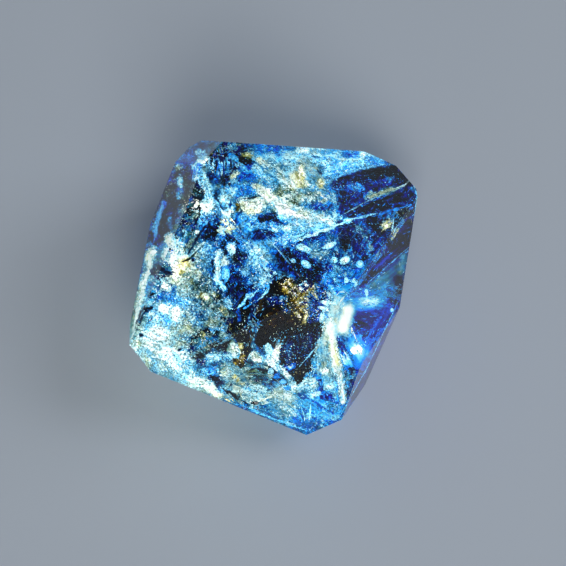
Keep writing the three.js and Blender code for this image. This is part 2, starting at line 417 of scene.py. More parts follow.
# Red, green and blue of each tone run from black as strength x light^power, and stop at 1. The blue
# of the blue tone fills sooner: 1 - (1 - light)^BLUE_FILL.
BLUE_STRENGTH, BLUE_POWER, BLUE_FILL = (0.9, 1.08, 1), (2.9, 1, 1), 3.7
GREY_STRENGTH, GREY_POWER = (1, 1.05, 1.02), (1.33, 1, 1)
GOLD_STRENGTH, GOLD_POWER = (1.12, 1.1, 0.95), (1, 1.15, 2.7)
DISPLAY_GAMMA = 2.2
# The studio's light that each face mirrors to the eye: most for the steep ones.
LEAST_GLARE = 0.01
GLARE = np.full(len(NORMALS), LEAST_GLARE)
GLARE[[RIGHT_TOP, RIGHT_FRONT, LEFT_REAR, LEFT_FRONT, RIGHT_EDGE]] = 0.022, 0.045, 0.06, 0.036, 0.06
GLARE_TINT = np.array([1.25, 1, 0.85])


def tone(light, strength, power):
    """Red, green and blue of a tone: strength x light^power, at most 1."""
    return np.minimum(np.array(strength) * light[..., None] ** np.array(power), 1)


def film_colour(light, warmth, deep, glare=LEAST_GLARE):
    """Colour of the film, as light that leaves it: from the blues through the greys to the golds as
    warmth goes from 0 through 0.5 to 1, less the glare of the face over it, and stronger with depth
    by what the quartz over it takes away."""
    light = np.clip(light, 0, 1)
    blue = tone(light, BLUE_STRENGTH, BLUE_POWER)
    blue[..., 2] = 1 - (1 - light) ** BLUE_FILL
    grey = tone(light, GREY_STRENGTH, GREY_POWER)
    gold = tone(light, GOLD_STRENGTH, GOLD_POWER)
    share = np.clip(warmth, 0, 1)[..., None] * 2
    mixed = np.where(share < 1, blue + (grey - blue) * share, grey + (gold - grey) * (share - 1))
    dimming = np.exp(np.minimum(deep, CLEAREST_DEPTH)[..., None] * TINT_PER_MM)
    shown = np.maximum(mixed ** DISPLAY_GAMMA - np.asarray(glare)[..., None] * GLARE_TINT, 0)
    return shown * dimming / GLOW_STRENGTH


# How the film looks, stroke by stroke: from one point of the view to another and so far to each
# side, then how light and how warm it is, and how beaded with drops or, below 0, how smooth. Later
# strokes lie over earlier ones.
SHOULDER = [
    (170, 200, 162, 236, 10, 0.13, 0.25, 0.3),
    (178, 178, 205, 150, 11, 0.34, 0.08, 0.8),
    (206, 150, 258, 152, 8, 0.26, 0.3, 0.2),
    (212, 172, 232, 162, 11, 0.27, 0.28, 0.3),
    (204, 159, 192, 172, 4.5, 0.9, 0.2, 0.4),
    (199, 166, 197, 170, 2.5, 0.28, 0, 0.5),
    (199, 154, 202, 153, 3, 0.7, 0.12, 0.8),
    (177, 170, 180, 166, 2.5, 0.75, 0.6, 0.6),
    (176, 174, 179, 173, 3, 0.08, 0.3, 0.5),
    (184, 178, 190, 173, 5, 0.2, 0, 0.9),
    (236, 161, 250, 162, 6, 0.06, 0.2, 0.4),
    (244, 168, 254, 167, 4, 0.18, 0, 0.3),
    (243, 155, 250, 156, 2.2, 0.5, 0.75, 0.3),
    (229, 148, 235, 148, 3, 0.42, 0.4, 0.4),
    (213, 156, 214, 160, 2.5, 0.3, 0.8, 0.5),
    (230, 158, 253, 176, 2.6, 0.5, 0.2, 0.1),
    (232, 177, 236, 175, 3, 0.62, 0.65, 0.5),
    (209, 178, 215, 179, 4, 0.1, 0.1, 0.4),
    (217, 179, 226, 177, 4.5, 0.2, 0.04, 0.7),
    (242, 177, 254, 174, 5, 0.3, 0.02, 0.3),
    (238, 192, 252, 190, 6, 0.42, 0.08, 0.6),
    (223, 194, 232, 191, 4.5, 0.6, 0.15, 1),
    (186, 184, 196, 218, 10, 0.3, 0.42, 1),
    (183, 200, 186, 200, 3.5, 0.14, 0.7, 0.8),
    (191, 205, 196, 203, 3.6, 0.93, 0.85, 0.5),
    (186, 210, 187, 213, 2, 0.85, 0.5, 0.6),
    (191, 216, 195, 218, 4, 0.14, 0.5, 0.9),
    (187, 222, 191, 226, 5, 0.22, 0.6, 0.9),
    (180, 178, 180, 183, 2.5, 0.82, 0.2, 0.3),
    (179, 189, 180, 197, 2.4, 0.6, 0.15, 0.9),
    (168, 188, 172, 187, 3.5, 0.3, 0.55, 1),
    (166, 193, 168, 195, 2.5, 0.45, 0.5, 0.4),
    (172, 214, 176, 214, 4, 0.2, 0.08, 0.4),
    (162, 212, 164, 226, 3, 0.2, 0.38, 0.2),
    (168, 216, 171, 232, 1.8, 0.36, 0.18, 0.1),
    (163, 201, 152, 243, 1.8, 0.52, 0.12, 0.2),
    (204, 176, 209, 206, 4.2, 0.8, 0.2, 0.15),
    (209, 202, 210, 218, 4.5, 0.86, 0.25, 0.2),
    (203, 206, 206, 208, 3.2, 0.96, 0.42, 0.3),
    (206, 221, 198, 232, 3.6, 0.72, 0.22, 0.5),
    (217, 192, 218, 202, 3.2, 0.26, 0.15, 0.3),
    (219, 200, 219, 204, 1.5, 0.05, 0.2, 0.2),
    (213, 208, 213, 214, 1.3, 0.1, 0.6, 0.2),
    (225, 198, 229, 212, 6, 0.86, 0.22, 0.5),
    (230, 203, 231, 205, 2.2, 0.4, 0.15, 0.3),
    (227, 214, 230, 212, 3.8, 0.95, 0.32, 0.3),
    (233, 218, 235, 218, 3, 0.42, 0.25, 0.3),
]
CREAM_FILM = [
    (248, 205, 258, 203, 7, 0.88, 0.5, 0.5),
    (243, 202, 245, 210, 3, 0.95, 0.6, 0.2),
    (246, 212, 258, 211, 2.6, 0.95, 0.75, 0.4),
    (238, 205, 238, 210, 2, 0.3, 0.85, 0.6),
    (250, 197, 262, 197, 1.2, 0.2, 0.3, 0.4),
    (176, 229, 182, 227, 4, 0.5, 0.42, 0.5),
    (169, 238, 170, 247, 4.2, 0.92, 0.5, 0.4),
    (153, 238, 163, 245, 5.5, 0.2, 0.04, 1),
    (183, 236, 184, 245, 5, 0.6, 0.13, 0.3),
    (177, 246, 181, 250, 3, 0.15, 0.3, 0.4),
    (197, 236, 190, 246, 4.5, 0.4, 0.45, 0.7),
    (172, 254, 186, 272, 12, 0.88, 0.42, 0.8),
    (202, 252, 206, 276, 8, 0.5, 0.38, 1),
    (183, 262, 181, 281, 6, 0.8, 0.98, 0.5),
    (173, 270, 176, 280, 4, 0.92, 0.55, 0.4),
    (188, 272, 196, 276, 4, 0.6, 0.55, 0.9),
    (152, 251, 145, 274, 3.6, 0.95, 0.5, 0.2),
    (150, 268, 163, 271, 7, 0.4, 0.28, 1),
    (149, 280, 154, 280, 4, 0.92, 0.3, 0.4),
    (159, 266, 161, 269, 2, 0.08, 0.4, 0.5),
    (172, 277, 186, 284, 4, 0.88, 0.55, 0.6),
]
LEFT_FIELD = [
    (208, 226, 238, 248, 12, 0.21, 0.06, 1),
    (206, 236, 232, 232, 3, 0.1, 0.1, 0.6),
    (219, 237, 223, 236, 4, 0.62, 0.12, 1),
    (205, 249, 216, 245, 3.6, 0.66, 0.12, 1),
    (237, 237, 240, 234, 3.2, 0.56, 0.06, 0.7),
    (244, 246, 246, 246, 2.4, 0.74, 0.1, 0.5),
    (246, 221, 256, 224, 7, 0.55, 0.1, 1),
    (231, 246, 233, 253, 3.6, 0.9, 0.28, 0.4),
    (236, 248, 236, 251, 1.6, 0.1, 0.1, 0.3),
    (238, 258, 242, 261, 5, 0.2, 0.42, 0.5),
    (254, 246, 262, 262, 8, 0.68, 0.17, 0.5),
    (214, 262, 240, 300, 13, 0.3, 0.14, 0.8),
    (220, 252, 217, 260, 2.3, 0.96, 0.25, 0.2),
    (217, 260, 218, 280, 2.4, 0.95, 0.22, 0.2),
    (218, 280, 224, 288, 2.2, 0.9, 0.2, 0.2),
    (224, 261, 226, 264, 3.2, 0.85, 0.42, 0.4),
    (226, 272, 226, 280, 4, 0.76, 0.2, 0.4),
    (213, 262, 214, 270, 2, 0.12, 0.2, 0.5),
    (156, 290, 204, 306, 14, 0.47, 0.26, 0.8),
    (147, 287, 152, 286, 3.5, 0.38, 0.1, 1),
    (161, 297, 164, 300, 4, 0.2, 0.03, 0.9),
    (171, 289, 173, 293, 3.5, 0.3, 0.06, 1),
    (163, 286, 165, 286, 3, 0.85, 0.45, 0.4),
    (190, 280, 222, 312, 12, 0.42, 0.4, 0.9),
    (200, 295, 202, 298, 2.5, 0.4, 0.85, 0.6),
    (204, 296, 206, 298, 2, 0.95, 0.6, 0.3),
    (214, 294, 216, 295, 2.2, 0.85, 0.55, 0.5),
    (193, 300, 195, 302, 2.5, 0.1, 0.3, 0.6),
    (217, 295, 220, 297, 2, 0.12, 0.7, 0.5),
    (212, 318, 224, 308, 4, 0.5, 0.4, 0.6),
    (222, 310, 223, 312, 2.5, 0.68, 0.7, 0.4),
    (144, 278, 132, 330, 3.8, 0.92, 0.4, 0.5),
    (151, 316, 161, 322, 4.5, 0.66, 0.2, 0.7),
    (184, 314, 204, 322, 8, 0.4, 0.3, 0.8),
    (172, 300, 184, 304, 5, 0.38, 0.04, 0.8),
    (190, 325, 194, 325, 3.5, 0.16, 0.04, 0.7),
    (168, 321, 176, 323, 4, 0.38, 0.1, 0.7),
    (163, 309, 166, 309, 4.2, 0.94, 0.3, 0.3),
    (175, 311, 177, 316, 3.6, 1, 0.32, 0.2),
    (232, 278, 250, 302, 10, 0.14, 0.02, 0.8),
    (266, 290, 244, 306, 8, 0.3, 0.06, 0.4),
    (262, 281, 264, 283, 3, 0.7, 0.15, 0.7),
    (228, 300, 230, 305, 2.2, 0.76, 0.18, 0.3),
]
FOOT = [
    (142, 344, 176, 356, 17, 0.88, 0.3, -0.2),
    (156, 332, 176, 338, 6, 0.97, 0.3, 0.3),
    (168, 350, 174, 358, 7, 1, 0.28, 0.3),
    (136, 340, 150, 364, 3, 0.9, 0.5, 0.2),
    (142, 350, 148, 354, 4, 0.74, 0.25, 0.5),
    (154, 366, 164, 369, 5, 0.7, 0.22, 0.6),
    (160, 370, 200, 386, 8, 0.74, 0.3, 0.5),
    (176, 366, 190, 376, 5, 0.86, 0.25, 0.4),
    (182, 332, 214, 350, 13, 0.38, 0.46, 0.8),
    (194, 352, 226, 344, 7, 0.34, 0.36, 0.6),
    (184, 336, 188, 338, 4, 0.5, 0.28, 0.7),
    (192, 354, 198, 356, 4, 0.1, 0.4, 0.7),
    (202, 335, 204, 335, 2.3, 0.6, 0.75, 0.4),
    (205, 341, 208, 341, 2.8, 0.7, 0.6, 0.8),
    (208, 344, 210, 352, 3, 0.2, 0.5, 0.8),
    (208, 322, 214, 324, 4, 0.54, 0.45, 0.4),
    (222, 329, 223, 335, 1.8, 0.82, 0.15, 0.2),
    (220, 336, 228, 340, 4.5, 0.05, 0.4, 0.6),
    (231, 324, 233, 334, 3, 0.18, 0.85, 0.6),
    (212, 358, 220, 356, 5.5, 0.76, 0.18, 0.3),
    (224, 356, 232, 358, 5, 0.68, 0.2, 0.3),
    (233, 346, 235, 352, 4, 0.86, 0.42, 0.3),
    (210, 364, 236, 362, 2, 0.34, 0.3, 0.2),
    (207, 372, 213, 372, 4, 0.58, 0.08, 1),
    (214, 380, 228, 390, 4.5, 0.12, 0.08, 1),
    (222, 388, 225, 390, 2.5, 0.3, 0.02, 0.4),
    (194, 383, 210, 387, 5, 0.9, 0.45, 0.3),
    (212, 392, 220, 396, 2.6, 0.92, 0.6, 0.3),
    (226, 376, 238, 372, 5, 0.82, 0.35, 0.4),
    (254, 357, 257, 359, 4, 0.96, 0.55, 0.2),
    (249, 366, 240, 370, 1.8, 0.86, 0.4, 0.2),
    (255, 308, 254, 346, 5, 0.42, 0.3, 0.15),
    (257, 318, 257, 330, 1.3, 0.6, 0.04, 0.1),
]
DOME = [
    (240, 380, 272, 384, 17, 0.44, 0.4, -0.2),
    (246, 392, 264, 395, 7, 0.6, 0.24, 0.1),
    (248, 381, 266, 380, 5, 0.5, 0.46, 0),
    (250, 372, 268, 371, 2.0, 0.24, 0.5, 0),
    (258, 377, 270, 384, 4, 0.36, 0.36, 0),
    (270, 386, 273, 391, 4, 0.36, 0.1, 0.4),
    (234, 376, 236, 381, 2.5, 0.74, 0.75, 0.2),
    (236, 397, 242, 399, 3.2, 0.15, 0.4, 0.6),
    (262, 396, 270, 398, 3.5, 0.62, 0.22, 0.5),
    (270, 365, 276, 378, 2.2, 0.1, 0.4, 0.3),
    (276, 378, 288, 386, 3.4, 0.14, 0.1, 1),
    (288, 386, 284, 392, 3, 0.1, 0.06, 1),
    (268, 348, 269, 354, 3.2, 0.82, 0.22, 0),
    (272, 361, 281, 345, 2.8, 0.9, 0.5, 0),
    (272, 361, 275, 367, 4.6, 0.86, 0.34, 0),
    (280, 368, 288, 377, 2.4, 0.9, 0.36, 0.2),
]
MIDDLE = [
    (262, 219, 280, 219, 4.5, 0.15, 0, 0.6),
    (256, 235, 278, 236, 4.5, 0.15, 0, 0.7),
    (266, 225, 276, 226, 3.6, 0.66, 0.1, 1),
    (281, 217, 304, 224, 3.4, 0.6, 0.08, 0.2),
    (278, 240, 288, 242, 4.5, 0.58, 0.14, 1),
    (288, 257, 322, 280, 13, 0.07, 0, 1),
    (272, 268, 276, 276, 4, 0.3, 0.05, 1),
    (306, 240, 322, 236, 3.6, 0.24, 0, 0.3),
    (314, 254, 326, 254, 4.6, 0.45, 0.36, 0.5),
]
TOP_VEIL = [
    (262, 150, 290, 152, 8, 0.56, 0.14, -0.2),
    (290, 152, 376, 158, 9, 0.7, 0.22, -0.3),
    (300, 150, 307, 151, 3.4, 0.93, 0.3, 0.1),
    (346, 153, 356, 153, 3.4, 0.45, 0.08, 0.4),
    (363, 156, 367, 156, 2.4, 0.76, 0.4, 0.3),
    (368, 160, 382, 163, 4, 0.56, 0.12, 0.9),
    (324, 163, 342, 163, 3.6, 0.77, 0.16, 0.2),
    (310, 158, 318, 159, 4, 0.58, 0.2, 0.1),
    (264, 164, 300, 182, 11, 0.62, 0.32, -0.3),
    (261, 161, 266, 163, 3, 0.82, 0.45, 0.7),
    (255, 170, 273, 188, 3, 0.66, 0.22, 0.5),
    (282, 178, 292, 186, 5, 0.7, 0.38, -0.3),
    (306, 168, 326, 182, 10, 0.46, 0.34, -0.4),
    (318, 170, 328, 180, 2, 0.3, 0.3, 0.1),
    (294, 176, 302, 184, 4.5, 0.6, 0.7, -0.3),
    (301, 168, 302, 180, 2.4, 0.84, 0.7, 0.1),
    (302, 180, 307, 184, 1.8, 0.86, 0.72, 0.1),
    (292, 188, 293, 192, 2.2, 0.92, 0.72, 0.1),
    (319, 184, 323, 182, 3, 0.7, 0.68, 0.2),
    (328, 172, 358, 164, 4.5, 0.7, 0.13, 0.2),
    (280, 194, 318, 198, 6.5, 0.44, 0.45, 1),
    (288, 203, 298, 203, 2.4, 0.14, 0.55, 1),
    (256, 187, 266, 194, 3.6, 0.86, 0.5, 0.2),
    (266, 194, 284, 208, 5, 0.93, 0.5, -0.1),
    (284, 208, 312, 219, 6.5, 0.92, 0.4, 0),
    (312, 219, 330, 222, 6, 0.88, 0.32, 0.4),
    (300, 226, 320, 228, 4, 0.8, 0.2, 0.3),
    (334, 197, 336, 206, 2.6, 0.88, 0.42, 0.6),
    (326, 196, 333, 196, 2, 0.6, 0.3, 1),
    (316, 207, 328, 206, 3, 0.35, 0.02, 0.3),
    (327, 220, 330, 221, 3, 1, 0.45, 0.2),
    (334, 212, 341, 218, 3.5, 0.7, 0.25, 0.6),
]
APEX = [
    (342, 186, 404, 178, 9, 0.13, 0, 0.6),
    (344, 206, 404, 200, 10, 0.2, 0, 0.6),
    (333, 186, 366, 188, 6.5, 0.26, 0.04, 1),
    (353, 185, 359, 187, 4, 0.5, 0.2, 1),
    (366, 172, 394, 171, 4, 0.03, 0.35, 0.5),
    (344, 179, 362, 177, 3, 0.1, 0, 0.2),
    (388, 179, 391, 178, 2.4, 0.5, 0.3, 0.8),
    (368, 187, 390, 183, 2.6, 0.26, 0, 0.5),
    (346, 204, 362, 198, 4.5, 0.24, 0.06, 0.6),
    (356, 214, 406, 193, 2.2, 0.02, 0.2, 0.1),
    (372, 209, 410, 198, 5, 0.22, 0, 0.4),
    (368, 197, 394, 189, 2.6, 0.5, 0.55, 0.2),
    (356, 217, 392, 212, 3, 0.36, 0.08, 0.4),
    (346, 228, 372, 236, 10, 0.26, 0.12, 0.5),
    (372, 224, 396, 236, 9, 0.2, 0.12, 0.5),
    (360, 229, 376, 252, 5, 0.4, 0.3, 0.2),
    (344, 241, 345, 246, 4.2, 0.05, 0.3, 0.4),
    (357, 248, 366, 262, 6, 0.28, 0.1, 0.6),
    (404, 210, 409, 222, 4, 0.13, 0.75, 0.4),
    (382, 233, 391, 242, 4.5, 0.08, 0.25, 0.3),
    (383, 228, 389, 223, 3.2, 0.72, 0.72, 0.3),
    (411, 234, 362, 280, 9, 0.2, 0, -0.7),
    (402, 246, 376, 268, 3, 0.28, 0, -0.7),
    (412, 258, 394, 276, 8, 0.5, 0.4, -0.8),
    (398, 272, 380, 290, 9, 0.48, 0.36, -0.8),
    (384, 281, 373, 291, 6, 0.54, 0.36, -0.7),
    (403, 256, 400, 270, 3, 0.6, 0.42, -0.7),
    (398, 280, 402, 284, 4, 0.36, 0.2, -0.7),
]
RIGHT_SIDE = [
    (330, 280, 358, 296, 10, 0.58, 0.1, 0.8),
    (330, 292, 348, 300, 5, 0.7, 0.2, 0.7),
    (348, 300, 384, 304, 13, 0.4, 0.06, -0.6),
    (364, 302, 378, 300, 7, 0.56, 0.17, -0.5),
    (369, 302, 375, 301, 4, 0.68, 0.18, 0.1),
    (388, 290, 396, 296, 5, 0.36, 0.2, 0.3),
    (393, 302, 398, 306, 4, 0.24, 0, 0.3),
    (350, 318, 376, 322, 10, 0.2, 0, -0.8),
    (354, 322, 366, 324, 4, 0.24, 0.14, 0.05),
    (386, 316, 368, 346, 7, 0.3, 0, -0.4),
    (340, 334, 346, 352, 5.5, 0.12, 0.3, 0.2),
    (348, 362, 364, 368, 6, 0.3, 0.06, -0.3),
    (350, 376, 346, 392, 5.5, 0.38, 0.26, 0.2),
    (352, 344, 364, 354, 10, 0.46, 0.04, -0.5),
    (356, 346, 360, 353, 6.5, 0.8, 0.12, -0.8),
    (357, 348, 359, 351, 3.4, 1, 0.4, 0.05),
    (358, 334, 358, 342, 2.5, 0.46, 0.08, 0.1),
    (336, 304, 330, 334, 8, 0.76, 0.36, -0.6),
    (328, 330, 320, 350, 5, 0.74, 0.4, -0.5),
    (322, 352, 330, 384, 7, 0.64, 0.36, -0.5),
    (329, 326, 333, 346, 4, 0.92, 0.5, -0.5),
    (332, 346, 337, 366, 3.6, 0.93, 0.7, -0.6),
    (337, 366, 343, 401, 3, 0.94, 0.5, -0.5),
    (324, 370, 326, 372, 3, 0.92, 0.5, 0.2),
    (349, 309, 342, 330, 6.5, 0.8, 0.36, -0.8),
    (348, 311, 343, 328, 4.5, 1.0, 0.68, -0.9),
    (316, 378, 320, 386, 5, 0.3, 0.04, 0.2),
    (334, 378, 338, 404, 4, 0.5, 0.2, 0.2),
    (400, 316, 354, 408, 6, 0.2, 0, -0.7),
]
TIP = [
    (262, 402, 300, 416, 11, 0.66, 0.34, -0.2),
    (284, 394, 296, 408, 10, 0.74, 0.4, -0.2),
    (292, 388, 312, 384, 6, 0.78, 0.36, 0.3),
    (300, 392, 308, 390, 4, 0.7, 0.35, 0.3),
    (306, 402, 328, 412, 12, 0.52, 0.12, -0.3),
    (298, 408, 306, 424, 4, 0.6, 0.2, 0.2),
    (323, 396, 330, 398, 4, 0.34, 0, 0.2),
    (312, 396, 318, 394, 2.4, 0.82, 0.2, 0.2),
    (328, 404, 338, 406, 4, 0.5, 0.16, 0.4),
    (294, 420, 312, 430, 3.5, 0.5, 0.12, 0.4),
    (252, 408, 292, 424, 2.6, 0.62, 0.22, 0.2),
    (240, 400, 258, 407, 3, 0.7, 0.4, 0.5),
]
STROKES = (
    SHOULDER + CREAM_FILM + LEFT_FIELD + FOOT + DOME + MIDDLE + TOP_VEIL + APEX + RIGHT_SIDE + TIP)
EVERYWHERE = (0.42, 0.22, 0.6, -0.5, -0.8)
# Broad shading over the strokes, from point to point and so far to each side: how much lighter and
# how much warmer the film is there.
SHADING = [
    (376, 176, 384, 262, 22, 0, -0.06),
    (374, 300, 364, 346, 20, 0.03, -0.07),
    (322, 410, 330, 392, 12, 0, -0.05),
    (262, 262, 270, 246, 12, 0.14, 0.04),
    (262, 282, 270, 278, 9, 0.18, 0),
    (240, 276, 246, 292, 11, 0.06, 0),
    (170, 286, 186, 272, 11, 0.2, 0.1),
    (196, 216, 206, 214, 11, 0.22, 0.02),
    (262, 146, 296, 148, 7, -0.16, -0.06),
    (298, 194, 322, 190, 12, 0.2, 0),
    (289, 240, 291, 232, 11, 0.2, 0),
    (153, 303, 184, 302, 12, 0.2, 0.03),
    (172, 326, 188, 325, 11, 0.22, 0),
    (150, 370, 170, 376, 9, -0.13, 0.05),
    (133, 296, 131, 334, 8, -0.3, 0.1),
    (289, 193, 311, 172, 12, 0.13, 0),
    (260, 414, 276, 415, 8, -0.14, 0),
    (402, 192, 404, 262, 11, -0.08, -0.1),
    (398, 280, 400, 292, 8, -0.12, 0),
    (222, 348, 224, 346, 10, -0.14, 0.05),
    (311, 362, 314, 378, 5, 0.1, 0.08),
    (222, 370, 226, 368, 6, 0.06, 0.14),
    (196, 172, 206, 170, 8, 0.1, 0),
    (306, 150, 318, 150, 6, 0.08, 0.04),
    (333, 282, 336, 280, 9, -0.1, 0),
    (214, 238, 232, 238, 10, -0.12, 0),
    (223, 216, 225, 214, 8, -0.07, 0),
    (223, 262, 225, 256, 8, -0.08, 0),
    (258, 336, 260, 344, 5, -0.1, 0),
    (172, 344, 186, 350, 9, 0.08, 0),
    (196, 262, 206, 256, 9, 0.1, 0.08),
    (350, 302, 362, 303, 9, 0.12, 0),
    (176, 216, 184, 214, 8, 0.1, 0),
    (372, 216, 384, 212, 9, -0.08, 0),
    (372, 172, 386, 172, 6, -0.06, 0),
    (306, 262, 316, 254, 8, 0.08, 0),
    (267, 364, 272, 374, 6, 0.14, 0.04),
    (196, 390, 206, 392, 6, -0.08, 0),
    (214, 392, 232, 394, 8, 0.2, 0.1),
    (140, 348, 150, 350, 12, -0.05, 0.08),
]
EDGE_SOFTNESS = 0.65
DOT = 3.0
PLAN_CORNER, PLAN_SIZE, PLAN_STEP = np.array([122, 134]), 306, 0.75


def away_from(x, y, x1, y1, x2, y2):
    """How far each point lies from the nearest point of the line between two others."""
    run, rise = x2 - x1, y2 - y1
    along = np.clip(((x - x1) * run + (y - y1) * rise) / (run ** 2 + rise ** 2), 0, 1)
    return np.hypot(x - x1 - along * run, y - y1 - along * rise)


def painted(x, y, starts, strokes):
    """Values at points of the view, such as light, warmth and beading: each stroke draws them from
    the starting ones to its own by a smooth step that falls from 1 to 0 about its half width away
    from its line. With two starts more, the stroke's doubled direction as well."""
    values = [np.full(x.shape, float(start)) for start in starts]
    for x1, y1, x2, y2, width, *target in strokes:
        run, rise = x2 - x1, y2 - y1
        span = run ** 2 + rise ** 2
        away = away_from(x, y, x1, y1, x2, y2) / width
        pull = np.clip((1 + EDGE_SOFTNESS - away) / (2 * EDGE_SOFTNESS), 0, 1)
        pull = pull * pull * (3 - 2 * pull)
        heading = ((run ** 2 - rise ** 2) / span, 2 * run * rise / span)
        goals = (*target, *heading) if span > DOT ** 2 else target
        for value, goal in zip(values, goals):
            value += (goal - value) * pull
    return np.stack(values, -1)


places = np.arange(0, PLAN_SIZE, PLAN_STEP)
LAST_PLACE = len(places) - 1.01
plan_x, plan_y = np.meshgrid(PLAN_CORNER[0] + places, PLAN_CORNER[1] + places)
FILM_PLAN = painted(plan_x, plan_y, EVERYWHERE, STROKES)
FILM_PLAN[..., :2] += painted(plan_x, plan_y, (0, 0), SHADING)


def film_at(x, y):
    """The film's light, warmth, beading and doubled direction at points of the view, blended
    between the nearest points where they were worked out."""
    column = np.clip((x - PLAN_CORNER[0]) / PLAN_STEP, 0, LAST_PLACE)
    row = np.clip((y - PLAN_CORNER[1]) / PLAN_STEP, 0, LAST_PLACE)
    i, j = row.astype(int), column.astype(int)
    s, t = (row - i)[..., None], (column - j)[..., None]
    upper = FILM_PLAN[i, j] * (1 - t) + FILM_PLAN[i, j + 1] * t
    lower = FILM_PLAN[i + 1, j] * (1 - t) + FILM_PLAN[i + 1, j + 1] * t
    return np.moveaxis(upper * (1 - s) + lower * s, -1, 0)


# Where the bitumen fills the view: rounded bars, each from point to point and so far to each side.
BITUMEN_OUTLINE = [
    (283, 293, 304, 300, 15), (304, 289, 316, 296, 10), (275, 322, 290, 316, 15),
    (290, 316, 306, 318, 15), (313, 302, 312, 322, 9), (270, 301, 276, 294, 7),
    (266, 326, 262, 341, 6.5), (298, 338, 310, 331, 11), (292, 352, 304, 349, 12.5),
    (297, 366, 300, 364, 11), (299, 374, 299, 378, 5), (299, 380, 298, 383, 2.5),
    (244, 303, 241, 338, 5), (248, 350, 238, 362, 4), (240, 340, 242, 350, 3),
]


def over_bitumen(x, y):
    """How far inside the outline of the bitumen each point of the view lies, in points."""
    inside = np.full(x.shape, -np.inf)
    for *ends, width in BITUMEN_OUTLINE:
        inside = np.maximum(inside, width - away_from(x, y, *ends))
    return inside


def path_length(x, y):
    """How far each sight line runs inside the crystal before it meets a face again."""
    skin = sight(x, y, 0)[0]
    inner = sight(x, y, 1)[0] - skin
    slope = inner @ NORMALS.T
    leaving = slope > PARALLEL
    reach = (DISTANCES - skin @ NORMALS.T) / np.where(leaving, slope, np.inf)
    return np.where(leaving, reach, np.inf).min(-1)


def tinted_mesh(name, points, faces, colours):
    """A mesh from points in millimetres, its faces, and a colour for each point, whose fourth value,
    if there is one, is how strongly the fine grain shows."""
    mesh = bpy.data.meshes.new(name)
    mesh.from_pydata(to_row(points).tolist(), [], faces)
    shade = mesh.color_attributes.new("tint", "FLOAT_COLOR", "POINT")
    rgba = np.ones((len(points), 4))
    rgba[:, :colours.shape[1]] = colours
    shade.data.foreach_set("color", rgba.ravel())
    return mesh


def grid_faces(rows, columns):
    """Four-sided faces between the points of a grid, row by row."""
    number = np.arange(rows * columns).reshape(rows, columns)
    return np.stack([number[:-1, :-1], number[:-1, 1:], number[1:, 1:], number[1:, :-1]], -1)


def sheet(points, colours, keep):
    """The kept cells of a grid of points and colours, and only the points and colours they use."""
    cells = grid_faces(*points.shape[:2])[keep]
    used, cells = np.unique(cells, return_inverse=True)
    shades = colours.reshape(-1, colours.shape[-1])[used]
    return points.reshape(-1, 3)[used], cells.reshape(-1, 4).tolist(), shades


def fine_grain_group():
    """Node group: a tint times 1 + crispness x grain, the grain being noise on Object coordinates
    whose middle part is spread from the darkest value to the lightest. Also gives the noise."""
    group = bpy.data.node_groups.new("fine_grain", "ShaderNodeTree")
    group.interface.new_socket("Tint", in_out="INPUT", socket_type="NodeSocketColor")
    for name in ("Crispness", "Scale", "Detail", "Noise Roughness", "Low", "High", "Dark", "Light"):
        group.interface.new_socket(name, in_out="INPUT", socket_type="NodeSocketFloat")
    group.interface.new_socket("Colour", in_out="OUTPUT", socket_type="NodeSocketColor")
    group.interface.new_socket("Noise", in_out="OUTPUT", socket_type="NodeSocketFloat")
    nodes, links = group.nodes, group.links
    given = nodes.new("NodeGroupInput").outputs
    result = nodes.new("NodeGroupOutput").inputs
    place = nodes.new("ShaderNodeTexCoord")
    noise = nodes.new("ShaderNodeTexNoise")
    links.new(place.outputs["Object"], noise.inputs["Vector"])
    links.new(given["Scale"], noise.inputs["Scale"])
    links.new(given["Detail"], noise.inputs["Detail"])
    links.new(given["Noise Roughness"], noise.inputs["Roughness"])
    grain = nodes.new("ShaderNodeMapRange")
    links.new(noise.outputs["Fac"], grain.inputs["Value"])
    links.new(given["Low"], grain.inputs["From Min"])
    links.new(given["High"], grain.inputs["From Max"])
    links.new(given["Dark"], grain.inputs["To Min"])
    links.new(given["Light"], grain.inputs["To Max"])
    shade = nodes.new("ShaderNodeMath")
    shade.operation = "MULTIPLY_ADD"
    shade.inputs[2].default_value = 1
    links.new(grain.outputs["Result"], shade.inputs[0])
    links.new(given["Crispness"], shade.inputs[1])
    mixed = nodes.new("ShaderNodeVectorMath")
    mixed.operation = "SCALE"
    links.new(given["Tint"], mixed.inputs[0])
    links.new(shade.outputs["Value"], mixed.inputs["Scale"])
    links.new(mixed.outputs["Vector"], result["Colour"])
    links.new(noise.outputs["Fac"], result["Noise"])
    return group


def grained_material(name, roughness, specular, grain_values):
    """A material that glows and shines in its mesh's tint, broken up by the fine grain. Also gives
    its nodes, links, surface, tint and grain for what a finish of its own adds."""
    material, nodes, links, surface = new_material(name)
    tint = nodes.new("ShaderNodeVertexColor")
    tint.layer_name = "tint"
    grain = nodes.new("ShaderNodeGroup")
    grain.node_tree = fine_grain
    for socket, value in grain_values.items():
        grain.inputs[socket].default_value = value
    links.new(tint.outputs["Color"], grain.inputs["Tint"])
    links.new(grain.outputs["Colour"], surface.inputs["Emission Color"])
    links.new(grain.outputs["Colour"], surface.inputs["Base Color"])
    surface.inputs["Emission Strength"].default_value = GLOW_STRENGTH
    surface.inputs["Roughness"].default_value = roughness
    surface.inputs["Specular IOR Level"].default_value = specular
    return material, nodes, links, surface, tint, grain


def film_material():
    """Oil film: the tint of its mesh, grainy by the tint's fourth value, dull, with a painted glow in
    that tint.
    """
    material, _, links, _, tint, grain = grained_material(
        "oil_film", FILM_ROUGHNESS, FILM_SPECULAR, FILM_GRAIN)
    links.new(tint.outputs["Alpha"], grain.inputs["Crispness"])
    return material


